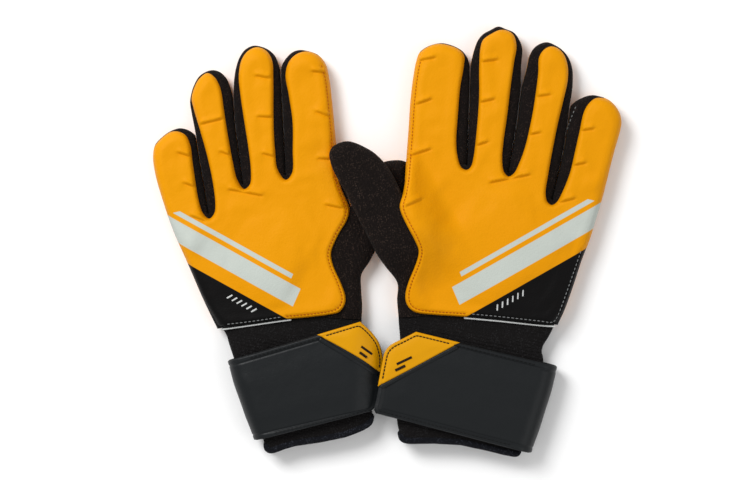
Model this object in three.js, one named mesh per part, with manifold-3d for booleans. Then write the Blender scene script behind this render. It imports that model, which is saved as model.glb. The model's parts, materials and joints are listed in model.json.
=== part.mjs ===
// A pair of junior goalkeeper gloves lying on their palms, fingers towards +Y, in millimetres, +Z up.
// The right glove lies partly over the left one, so its thumb crosses above the left thumb.
//
// Each glove is sewn up from layers. Palm foam lies on the ground and rolls up at its outer edges,
// gussets and finger webs stand on it as side walls, and the foam back panel and the mesh over the
// thumb close the top. A stretch sleeve with a bound mouth carries the wrist strap, which is fixed
// under the wrist, turns round its outer side and closes over the top on hook and loop.
//
// A glove is drawn as a right hand: x grows from the thumb side to the little finger. The left
// glove's numbers are drawn the same way and mirrored.

import * as THREE from "three";
import Module from "manifold-3d";
import { mergeVertices } from "three/addons/utils/BufferGeometryUtils.js";

const wasm = await Module();
wasm.setup();

// ---- Driving dimensions ----------------------------------------------------------------------

const GAP = 0.3; // between pieces that touch
const PALM_TOP = 5; // palm foam with its lining
const WALL_TOP = 11.2; // top of the side walls
const WALL_THICK = 4; // a wall's padding, measured in plan
const BACK_BOTTOM = WALL_TOP + GAP;
const BACK_TOP = BACK_BOTTOM + 4; // foam back panel
const MESH_TOP = BACK_BOTTOM + 1.2; // mesh over the thumb side
const PALM_INSET = 1; // how far the palm foam stays inside the outline
const HINGE_HEIGHT = 8; // the height that fingers bend about
const FLEX_NOTCH = Math.tan(THREE.MathUtils.degToRad(30)); // lets a finger curl 60 degrees
const LIFT_NOTCH = Math.tan(THREE.MathUtils.degToRad(10)); // lets a finger lift 20 degrees
const SLEEVE = { bottom: 2.3, top: 15.2, wall: 2 };
const MOUTH_BAND = 4; // depth of the binding round the mouth
const LOOP = { bottom: SLEEVE.top + GAP, top: 16.6 };
const HOOK = { bottom: 16.9, top: 17.8 };
const STRAP = { bottom: 18.1, top: 20.1, underside: 2 };
const PIPING = { bottom: 12, top: 14, width: 1.2 };
const OVER_LEFT_THUMB = 14; // how high the right glove is lifted where it crosses the left one
const TIP_STEPS = 8;
const SLOT_STEPS = 5;
// Where the right glove's lift fades away, from its thumb's bend: across the thumb and back along it.
const FADE_ACROSS = { from: 14.5, to: 28.5 };
const FADE_BACK = { from: 23, to: 52 };

// Fingers: where each bends (x, y), how it leans from +Y, its length from there, its half width at
// the bend and at the tip, and the foam strip on its back (half widths and sideways shift).
const GLOVES = {
  right: {
    mirror: 1,
    fingers: {
      index: { x: 26.3, y: 46, lean: 4, length: 63, base: 15.6, tip: 14.9, strip: [12.8, 12.4, -2.2] },
      middle: { x: 55.2, y: 45, lean: 5.5, length: 73.5, base: 12.3, tip: 13.4, strip: [8, 9.8, 0] },
      ring: { x: 80.5, y: 42, lean: 8.8, length: 68, base: 12.4, tip: 13.2, strip: [6.8, 8.2, 1.6] },
      pinky: { x: 106.3, y: 26.5, lean: 12.8, length: 55, base: 14.2, tip: 14.3, strip: [10.6, 10.8, 3.3] },
    },
    thumb: { x: -5.2, y: 17.2, lean: -30.3, length: 41.5, base: 14, tip: 11.5 },
    slots: [[42.3, 40.6], [67, 37.4], [90.6, 21.6]],
    foamSlots: [[42.4, 38.8], [66.6, 35.5], [89.7, 19.5]],
    thumbCrotch: [7.6, 21.5],
    rim: [[7.6, 19.2], [9, 32]],
    thumbSide: [[7.2, -42], [5.3, -38], [5.2, -23], [-6.5, -6.9]],
    foamThumbSide: [
      [17.5, -40.5], [11.3, -37.5], [9.2, -31], [12, -20.5], [16.6, -10.8], [16.6, -5.2], [12.2, 4.8],
      [7.9, 18.8], [9.2, 32],
    ],
    outerSide: [[119.6, 20], [110.5, -3.6], [101, -27], [93.8, -46.5]],
    sleeveThumbSide: [[7, -44.2], [7, -56], [5, -80], [5.4, -99.8]],
    sleeveOuterSide: [[73.5, -114], [86.4, -70], [85.2, -61], [88.6, -53.6], [91.4, -48.6]],
    mouth: [
      [5.4, -99.8], [6.6, -106.8], [10, -109.2], [34, -109.7], [50.6, -112.5], [66, -116.4], [73.5, -117],
    ],
    strap: [[17.6, -50.9], [92.2, -68.6], [78, -116.6], [-5.8, -94.9], [-4, -79.5], [1.2, -57.6]],
    tab: [[38, -56.4], [-4.6, -79.3]],
  },
  left: {
    mirror: -1,
    fingers: {
      index: { x: 42.9, y: 41, lean: 4.2, length: 63.5, base: 13.7, tip: 13, strip: [10.2, 10.6, -0.6] },
      middle: { x: 69.2, y: 39.5, lean: 4.8, length: 68, base: 11.7, tip: 12.6, strip: [7.4, 9.4, -0.7] },
      ring: { x: 91.4, y: 35.2, lean: 8.2, length: 59, base: 10.4, tip: 11.4, strip: [6.9, 8.6, 1.6] },
      pinky: { x: 110.9, y: 20, lean: 13.6, length: 43.5, base: 10.6, tip: 12.2, strip: [8.8, 10, 1.6] },
    },
    thumb: { x: 11.4, y: 12, lean: -30.3, length: 32.4, base: 13, tip: 8.9 },
    slots: [[56.6, 35.6], [79.9, 30.6], [99, 14.6]],
    foamSlots: [[56.1, 32.7], [79.2, 28.9], [97.9, 12.4]],
    thumbCrotch: [22.8, 17],
    rim: [[21.6, 17.6], [25.4, 29]],
    thumbSide: [[17, -41.5], [14.6, -36], [15, -19.5], [6.6, -6.9]],
    foamThumbSide: [
      [29.4, -40], [24.9, -37.3], [23.8, -32.5], [26.2, -25.5], [30.4, -15], [31.8, -8.6], [31, -2.2],
      [26.4, 7.5], [22.1, 17.6], [25.8, 28.4],
    ],
    outerSide: [[121.6, 16.5], [115.4, 0.3], [108.8, -16.3], [100.6, -32.7], [94.2, -48.6]],
    sleeveThumbSide: [[15, -43], [15.2, -58], [11.6, -80], [9, -97]],
    sleeveOuterSide: [[67.6, -109], [83.6, -68], [86.4, -62], [88.6, -54], [91.4, -50.4]],
    mouth: [
      [9, -97], [10.4, -99.6], [14.5, -102.4], [26.4, -106.8], [48.4, -110.2], [62, -114.2], [67.6, -113.6],
    ],
    strap: [
      [15.4, -44.9], [87.4, -66.4], [71.4, -109.6], [8.2, -92.6], [5, -73], [4.2, -66.8], [7.4, -54.7],
    ],
    tab: [[38.5, -52], [4.6, -72.2]],
  },
};

// Finishes: the colour, roughness and metalness of each kind of material.
const finish = (color, roughness) => new THREE.MeshStandardMaterial({ color, roughness, metalness: 0 });
const FINISHES = {
  foam: finish(0xf2a400, 0.55),
  fabric: finish(0x1c1614, 0.9),
  strap: finish(0x222526, 0.5),
  tab: finish(0xdea10a, 0.5),
  hook: finish(0x101112, 0.8),
  piping: finish(0xd8dcdc, 0.5),
};

// ---- Solids ------------------------------------------------------------------------------------

// A closed three.js geometry as a manifold-3d solid.
function solidOf(geometry) {
  const bare = geometry.clone();
  bare.deleteAttribute("normal");
  bare.deleteAttribute("uv");
  const merged = mergeVertices(bare, 1e-4);
  return new wasm.Manifold(
    new wasm.Mesh({
      numProp: 3,
      vertProperties: merged.attributes.position.array,
      triVerts: new Uint32Array(merged.index.array),
    }),
  );
}

function geometryOf(solid) {
  const mesh = solid.getMesh();
  const geometry = new THREE.BufferGeometry();
  geometry.setAttribute("position", new THREE.BufferAttribute(new Float32Array(mesh.vertProperties), 3));
  geometry.setIndex(new THREE.BufferAttribute(new Uint32Array(mesh.triVerts), 1));
  return geometry;
}

// A flat layer of this outline between two heights.
function slab(outline, bottom, top) {
  const geometry = new THREE.ExtrudeGeometry(new THREE.Shape(outline), {
    depth: top - bottom,
    bevelEnabled: false,
  });
  return solidOf(geometry.translate(0, 0, bottom));
}

const points = (pairs) => pairs.map(([x, y]) => new THREE.Vector2(x, y));

// Moves a closed outline inwards, or outwards where the distance is negative.
function inset(outline, distance) {
  const turn = THREE.ShapeUtils.isClockWise(outline) ? -1 : 1;
  const count = outline.length;
  return outline.map((p, i) => {
    const before = p.clone().sub(outline[(i + count - 1) % count]).normalize();
    const after = outline[(i + 1) % count].clone().sub(p).normalize();
    const inwards = new THREE.Vector2(-before.y - after.y, before.x + after.x).multiplyScalar(turn);
    const corner = Math.max(0.35, 1 + before.dot(after));
    return p.clone().addScaledVector(inwards, distance / corner);
  });
}

// Shifts a side's points across, and carries both ends on past the piece they cut.
function carriedPast(side, across, beyond) {
  const moved = side.map((p) => new THREE.Vector2(p.x + across, p.y));
  const ends = [moved[0].clone(), moved[moved.length - 1].clone()];
  const up = Math.sign(ends[1].y - ends[0].y);
  ends[0].y -= up * beyond;
  ends[1].y += up * beyond;
  return [ends[0], ...moved, ends[1]];
}

// ---- A finger's own frame ----------------------------------------------------------------------

// A point given along and across a finger, in the plane of the glove.
function onFinger(finger, along, across) {
  const lean = THREE.MathUtils.degToRad(finger.lean);
  return new THREE.Vector2(
    finger.x + along * Math.sin(lean) + across * Math.cos(lean),
    finger.y + along * Math.cos(lean) - across * Math.sin(lean),
  );
}

// A finger's outline from its thumb-side base round the tip to its other base.
function fingerOutline(finger, base, tip, shift = 0, shorter = 0) {
  const centre = finger.length - shorter - tip;
  const outline = [onFinger(finger, 0, shift - base)];
  for (let i = 0; i <= TIP_STEPS; i++) {
    const turn = (Math.PI * i) / TIP_STEPS;
    outline.push(onFinger(finger, centre + tip * Math.sin(turn), shift - tip * Math.cos(turn)));
  }
  outline.push(onFinger(finger, 0, shift + base));
  return outline;
}

// Half an ellipse from one finger's side to the next, through the slot's deepest point.
function slotBetween(from, to, deepest) {
  const middle = from.clone().add(to).multiplyScalar(0.5);
  const half = to.clone().sub(from).multiplyScalar(0.5);
  const depth = new THREE.Vector2(...deepest).sub(middle);
  const arc = [];
  for (let i = 1; i < SLOT_STEPS; i++) {
    const turn = (Math.PI * i) / SLOT_STEPS;
    const spot = middle.clone().addScaledVector(half, -Math.cos(turn));
    arc.push(spot.addScaledVector(depth, Math.sin(turn)));
  }
  return arc;
}

// The outlines of all four fingers in a row, joined by the slots between them.
function fingerRow(glove, slots, outlineOf) {
  const row = Object.values(glove.fingers).map(outlineOf);
  return row.flatMap((outline, i) => {
    if (i === 0) return outline;
    const before = row[i - 1];
    return [...slotBetween(before[before.length - 1], outline[0], slots[i - 1]), ...outline];
  });
}

// The whole glove's outline, thumb included.
function gloveOutline(glove) {
  return [
    ...points(glove.thumbSide),
    ...fingerOutline(glove.thumb, glove.thumb.base, glove.thumb.tip),
    new THREE.Vector2(...glove.thumbCrotch),
    ...points(glove.rim.slice(1)),
    ...fingerRow(glove, glove.slots, (f) => fingerOutline(f, f.base, f.tip)),
    ...points(glove.outerSide),
  ];
}

// The foam back panel's outline.
function backOutline(glove) {
  return [
    ...points(glove.foamThumbSide),
    ...fingerRow(glove, glove.foamSlots, (f) =>
      fingerOutline(f, f.strip[0], f.strip[1], f.strip[2], f === glove.fingers.middle ? 1.2 : 1),
    ),
    ...points(glove.outerSide),
  ];
}

// Everything on the finger's side of its bend. The boundary is a notch that leaves room for the
// finger to curl and lift: side 1 gives the finger itself, and side -1 gives what the hand loses.
function fingerSide(finger, side) {
  const room = GAP;
  const low = -1;
  const high = 30;
  const reach = finger.length + 5;
  const edge = (z) =>
    side * (room + FLEX_NOTCH * Math.max(0, HINGE_HEIGHT - z) + LIFT_NOTCH * Math.max(0, z - HINGE_HEIGHT));
  const profile = new THREE.Shape([
    new THREE.Vector2(edge(low), low),
    new THREE.Vector2(reach, low),
    new THREE.Vector2(reach, high),
    new THREE.Vector2(edge(high), high),
    new THREE.Vector2(edge(HINGE_HEIGHT), HINGE_HEIGHT),
  ]);
  const width = 40;
  const wedge = new THREE.ExtrudeGeometry(profile, { depth: 2 * width, bevelEnabled: false });
  // The profile's axes become along the finger and up; its depth runs across the finger.
  const lean = THREE.MathUtils.degToRad(finger.lean);
  const along = new THREE.Vector3(Math.sin(lean), Math.cos(lean), 0);
  const up = new THREE.Vector3(0, 0, 1);
  const across = along.clone().cross(up);
  wedge.translate(0, 0, -width);
  wedge.applyMatrix4(new THREE.Matrix4().makeBasis(along, up, across).setPosition(finger.x, finger.y, 0));
  const margin = 0.2;
  const strip = [
    onFinger(finger, -8, -finger.base - margin),
    onFinger(finger, 0, -finger.base - margin),
    onFinger(finger, finger.length - finger.tip, -finger.tip - margin),
    onFinger(finger, reach, -finger.tip - margin),
    onFinger(finger, reach, finger.tip + margin),
    onFinger(finger, finger.length - finger.tip, finger.tip + margin),
    onFinger(finger, 0, finger.base + margin),
    onFinger(finger, -8, finger.base + margin),
  ];
  return solidOf(wedge).intersect(slab(strip, low + 0.5, high - 0.5));
}

// ---- One glove -----------------------------------------------------------------------------------

function makeGlove(side, glove) {
  const group = new THREE.Group();
  const bends = { ...glove.fingers, thumb: glove.thumb };
  const outline = gloveOutline(glove);
  const foam = backOutline(glove);
  const zones = Object.fromEntries(
    Object.entries(bends).map(([name, f]) => [name, { finger: fingerSide(f, 1), lost: fingerSide(f, -1) }]),
  );
  const handPart = (solid) => Object.values(zones).reduce((rest, zone) => rest.subtract(zone.lost), solid);
  const largest = (solid) => solid.decompose().sort((a, b) => b.volume() - a.volume())[0];
  const middleOf = (solid) => {
    const box = solid.boundingBox();
    return new THREE.Vector2((box.min[0] + box.max[0]) / 2, (box.min[1] + box.max[1]) / 2);
  };

  // Adds one piece, mirrored for the left glove and lifted where the right glove drapes.
  const add = (name, solid, material, drapes = false) => {
    const flat = geometryOf(solid);
    const geometry = drapes ? draped(flat, glove.thumb) : flat;
    const mesh = new THREE.Mesh(geometry, FINISHES[material]);
    mesh.name = `${side}_${name}`;
    group.add(mesh);
  };
  const over = side === "right";

  // Side walls: a band just inside the outline, open at the wrist.
  const inner = inset(outline, WALL_THICK).map((p) => (p.y < -30 ? new THREE.Vector2(p.x, p.y - 20) : p));
  const walls = (bottom, top) => slab(outline, bottom, top).subtract(slab(inner, bottom - 1, top + 1));
  const lowWalls = walls(PALM_TOP + GAP, WALL_TOP);
  const handWalls = handPart(walls(PALM_TOP + GAP, WALL_TOP)).decompose();
  const near = (x, y) => {
    const spot = new THREE.Vector2(x, y);
    const away = (wall) => middleOf(wall).distanceTo(spot);
    return handWalls.slice().sort((a, b) => away(a) - away(b))[0];
  };

  // Palm foam: a slab that rolls up at the glove's outer side and along the index finger's side.
  const palm = slab(inset(outline, PALM_INSET), 0, PALM_TOP);
  const rolled = handPart(walls(PALM_TOP - 1, WALL_TOP).subtract(slab(outline, -1, PALM_TOP - 0.5)))
    .decompose()
    .filter((wall) => {
      const middle = middleOf(wall);
      const outer = middle.distanceTo(new THREE.Vector2(...glove.outerSide[1])) < 14;
      const rim = middle.distanceTo(new THREE.Vector2(...glove.rim[1])) < 12;
      return outer || rim;
    });
  const palmHand = rolled.reduce((sum, wall) => sum.add(wall), largest(handPart(palm)));
  add("palm_foam", largest(palmHand), "foam", over);

  // Foam back panel and the white piping along its lower edge.
  const back = slab(foam, BACK_BOTTOM, BACK_TOP);
  add("back_panel", largest(handPart(back)), "foam", over);
  const lower = [foam[0], foam[foam.length - 1]];
  const dropped = (p, down) => new THREE.Vector2(p.x, p.y - down);
  const pipingOutline = [
    dropped(lower[0], GAP),
    dropped(lower[1], GAP),
    dropped(lower[1], GAP + PIPING.width),
    dropped(lower[0], GAP + PIPING.width),
  ];
  add("back_piping", slab(pipingOutline, PIPING.bottom, PIPING.top), "piping");

  // Mesh over the thumb side: a top layer with the side wall sewn to it.
  const besideFoam = points(glove.foamThumbSide.slice(0, -1)).reverse();
  const meshOutline = [
    ...points(glove.thumbSide),
    ...fingerOutline(glove.thumb, glove.thumb.base, glove.thumb.tip),
    new THREE.Vector2(...glove.thumbCrotch),
    ...besideFoam.map((p) => new THREE.Vector2(p.x - 1.5 * GAP, p.y)),
  ];
  const mesh = slab(meshOutline, BACK_BOTTOM - 0.1, MESH_TOP);
  const lowerWall = handPart(walls(PALM_TOP + GAP, BACK_BOTTOM + 0.1))
    .decompose()
    .filter((wall) => middleOf(wall).distanceTo(new THREE.Vector2(...glove.thumbSide[2])) < 16)
    .reduce((sum, wall) => sum.add(wall));
  add("thumb_side_mesh", largest(largest(handPart(mesh)).add(lowerWall)), "fabric", over);

  // Webs between the fingers.
  ["index_middle", "middle_ring", "ring_pinky"].forEach((name, i) => {
    add(`${name}_web`, near(...glove.slots[i]), "fabric");
  });

  // Fingers: foam strip, gusset wall and palm foam. The thumb's back is mesh with its wall.
  for (const name of Object.keys(glove.fingers)) {
    const zone = zones[name].finger;
    add(`${name}_back`, largest(back.intersect(zone)), "foam");
    add(`${name}_gusset`, largest(lowWalls.intersect(zone)), "fabric");
    add(`${name}_palm`, largest(palm.intersect(zone)), "foam");
  }
  const thumbShell = mesh.add(walls(PALM_TOP + GAP, BACK_BOTTOM + 0.1)).intersect(zones.thumb.finger);
  add("thumb_shell", largest(thumbShell), "fabric", over);
  add("thumb_palm", largest(palm.intersect(zones.thumb.finger)), "foam", over);

  addWrist(glove, add);
  group.scale.x = glove.mirror;
  return group;
}

// Lifts a piece of the right glove where it crosses the left thumb. The lift is full along the thumb
// and fades in flat folds, so triangles are split along the folds and pieces in contact stay so.
function draped(geometry, thumb) {
  const lean = THREE.MathUtils.degToRad(thumb.lean);
  const across = new THREE.Vector3(Math.cos(lean), -Math.sin(lean), 0);
  const back = new THREE.Vector3(-Math.sin(lean), -Math.cos(lean), 0);
  const root = new THREE.Vector3(thumb.x, thumb.y, 0);
  const acrossRange = FADE_ACROSS.to - FADE_ACROSS.from;
  const backRange = FADE_BACK.to - FADE_BACK.from;
  // The last fold is where both fades are equal.
  const corner = across.clone().divideScalar(acrossRange).addScaledVector(back, -1 / backRange);
  const folds = [
    [across, FADE_ACROSS.from],
    [across, FADE_ACROSS.to],
    [back, FADE_BACK.from],
    [back, FADE_BACK.to],
    [corner, FADE_ACROSS.to / acrossRange - FADE_BACK.to / backRange],
  ];
  const corners = new THREE.Vector3();
  const position = geometry.toNonIndexed().attributes.position;
  let triangles = [];
  for (let i = 0; i < position.count; i += 3) {
    triangles.push([0, 1, 2].map((k) => corners.fromBufferAttribute(position, i + k).clone()));
  }
  for (const [normal, distance] of folds) {
    const plane = new THREE.Plane(normal, -distance - normal.dot(root));
    triangles = triangles.flatMap((triangle) => splitAlong(triangle, plane));
  }
  const lifted = triangles.flat().map((corner) => {
    const p = corner.clone().sub(root);
    const sideways = (FADE_ACROSS.to - p.dot(across)) / acrossRange;
    const backwards = (FADE_BACK.to - p.dot(back)) / backRange;
    const share = THREE.MathUtils.clamp(Math.min(sideways, backwards), 0, 1);
    return new THREE.Vector3(corner.x, corner.y, corner.z + OVER_LEFT_THUMB * share);
  });
  return mergeVertices(new THREE.BufferGeometry().setFromPoints(lifted), 1e-4);
}

// The parts of a triangle on either side of a plane, as triangles.
function splitAlong(triangle, plane) {
  const heights = triangle.map((p) => plane.normal.dot(p) + plane.constant);
  const onPlane = 1e-6;
  const above = [];
  const below = [];
  triangle.forEach((p, i) => {
    const next = (i + 1) % 3;
    if (heights[i] > -onPlane) above.push(p);
    if (heights[i] < onPlane) below.push(p);
    const offPlane = Math.min(Math.abs(heights[i]), Math.abs(heights[next])) > onPlane;
    if (offPlane && heights[i] * heights[next] < 0) {
      const crossing = p.clone().lerp(triangle[next], heights[i] / (heights[i] - heights[next]));
      above.push(crossing);
      below.push(crossing);
    }
  });
  return [above, below].flatMap((part) => part.slice(2).map((p, i) => [part[0], part[i + 1], p]));
}

// The sleeve, its bound mouth, the strap round it and the closure.
function addWrist(glove, add) {
  const thumbSide = points(glove.sleeveThumbSide);
  const outerSide = points(glove.sleeveOuterSide);
  const mouth = points(glove.mouth);
  const { wall } = SLEEVE;
  const solidSleeve = slab([...thumbSide, ...mouth.slice(1), ...outerSide], SLEEVE.bottom, SLEEVE.top);
  const hollow = [...carriedPast(thumbSide, wall, 30), ...carriedPast(outerSide, -wall, 30)];
  const tube = solidSleeve.subtract(slab(hollow, SLEEVE.bottom + wall, SLEEVE.top - wall));
  const band = (up) => [
    ...mouth.map((p) => new THREE.Vector2(p.x, p.y + up)),
    new THREE.Vector2(120, mouth[mouth.length - 1].y + up),
    new THREE.Vector2(120, -150),
    new THREE.Vector2(-60, -150),
    new THREE.Vector2(-60, mouth[0].y + up),
  ];
  add("sleeve", tube.subtract(slab(band(MOUTH_BAND + GAP), 0, 40)), "fabric");
  add("mouth_binding", tube.intersect(slab(band(MOUTH_BAND), 0, 40)), "fabric");

  // The strap's fixed part lies under the wrist and stands up round its outer side.
  const strap = points(glove.strap);
  const beside = [...carriedPast(outerSide, GAP, 30), ...points([[-60, 0], [-60, -150]])];
  const wrapped = slab(strap, 0, HOOK.top).subtract(slab(beside, STRAP.underside, 40));
  const sewnEnd = points([[-60, 0], [20, 0], [16, -150], [-60, -150]]);
  add("strap_wrap", wrapped.subtract(slab(sewnEnd, -1, 40)), "strap");

  // Its free part closes over the top. The coloured tab is sewn on at the thumb-side corner.
  const [tabFrom, tabTo] = points(glove.tab);
  const alongTab = tabTo.clone().sub(tabFrom).normalize();
  const offTab = new THREE.Vector2(-alongTab.y, alongTab.x);
  const cut = (shift) => {
    const from = tabFrom.clone().addScaledVector(alongTab, -40).addScaledVector(offTab, shift);
    const to = tabTo.clone().addScaledVector(alongTab, 20).addScaledVector(offTab, shift);
    return [from, to, to.clone().addScaledVector(offTab, -60), from.clone().addScaledVector(offTab, -60)];
  };
  const free = slab(inset(strap, GAP / 2), STRAP.bottom, STRAP.top);
  add("strap_flap", free.subtract(slab(cut(GAP / 2), 0, 40)), "strap");
  add("strap_tab", free.intersect(slab(cut(-GAP / 2), 0, 40)), "tab");

  // Hook and loop patches, parallel to the strap.
  const [topLeft, topRight] = strap;
  const alongStrap = topRight.clone().sub(topLeft).normalize();
  const downStrap = new THREE.Vector2(alongStrap.y, -alongStrap.x);
  const patch = (from, length, inside, height) => {
    const corner = topLeft.clone().addScaledVector(alongStrap, from).addScaledVector(downStrap, inside);
    const end = corner.clone().addScaledVector(alongStrap, length);
    const lowerEnd = end.clone().addScaledVector(downStrap, height);
    const lowerCorner = corner.clone().addScaledVector(downStrap, height);
    return [corner, end, lowerEnd, lowerCorner];
  };
  add("loop_patch", slab(patch(8, 44, 6, 36), LOOP.bottom, LOOP.top), "hook");
  add("hook_patch", slab(patch(9, 26, 7, 34), HOOK.bottom, HOOK.top), "hook");
}

// ---- The pair ------------------------------------------------------------------------------------

const pair = new THREE.Group();
for (const [side, glove] of Object.entries(GLOVES)) pair.add(makeGlove(side, glove));

// The origin is on the ground under the middle of the pair.
const middle = new THREE.Box3().setFromObject(pair).getCenter(new THREE.Vector3());
pair.position.set(-middle.x, -middle.y, 0);

export default pair;
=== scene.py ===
"""Looks for the pair of goalkeeper gloves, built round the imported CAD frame.

Tables are in millimetres in the frame's own axes: +X to the right glove, +Y to the fingertips, +Z up.
Each glove is drawn as sewn layers over a plan outline: a hollow fabric body, foam pads above and
below it, a sleeve, and a strap that wraps round the wrist.
"""

import json
import math

import bmesh
import bpy
import numpy as np
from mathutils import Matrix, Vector
from mathutils.geometry import delaunay_2d_cdt

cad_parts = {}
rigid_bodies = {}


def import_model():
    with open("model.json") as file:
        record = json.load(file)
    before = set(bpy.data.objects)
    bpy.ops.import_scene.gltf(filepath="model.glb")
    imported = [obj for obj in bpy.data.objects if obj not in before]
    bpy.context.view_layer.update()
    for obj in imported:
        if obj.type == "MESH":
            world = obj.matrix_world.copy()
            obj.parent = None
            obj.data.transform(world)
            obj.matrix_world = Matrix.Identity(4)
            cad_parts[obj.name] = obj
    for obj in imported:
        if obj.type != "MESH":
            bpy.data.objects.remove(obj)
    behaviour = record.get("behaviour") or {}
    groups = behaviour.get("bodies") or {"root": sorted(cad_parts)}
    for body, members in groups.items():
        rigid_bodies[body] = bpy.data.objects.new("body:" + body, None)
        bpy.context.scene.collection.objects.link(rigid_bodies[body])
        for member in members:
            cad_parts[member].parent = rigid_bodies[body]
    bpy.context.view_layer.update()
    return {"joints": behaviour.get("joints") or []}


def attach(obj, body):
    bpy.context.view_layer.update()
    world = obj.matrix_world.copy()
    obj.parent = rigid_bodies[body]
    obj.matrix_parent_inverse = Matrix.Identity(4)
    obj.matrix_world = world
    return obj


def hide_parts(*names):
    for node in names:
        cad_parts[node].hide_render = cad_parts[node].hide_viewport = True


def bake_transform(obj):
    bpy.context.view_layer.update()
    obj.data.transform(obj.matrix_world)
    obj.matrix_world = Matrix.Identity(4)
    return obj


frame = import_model()

MM = 0.001
FINGERS = ("index", "middle", "ring", "pinky")
C = "corner"

# ---- Outlines ---------------------------------------------------------------------------------

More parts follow.
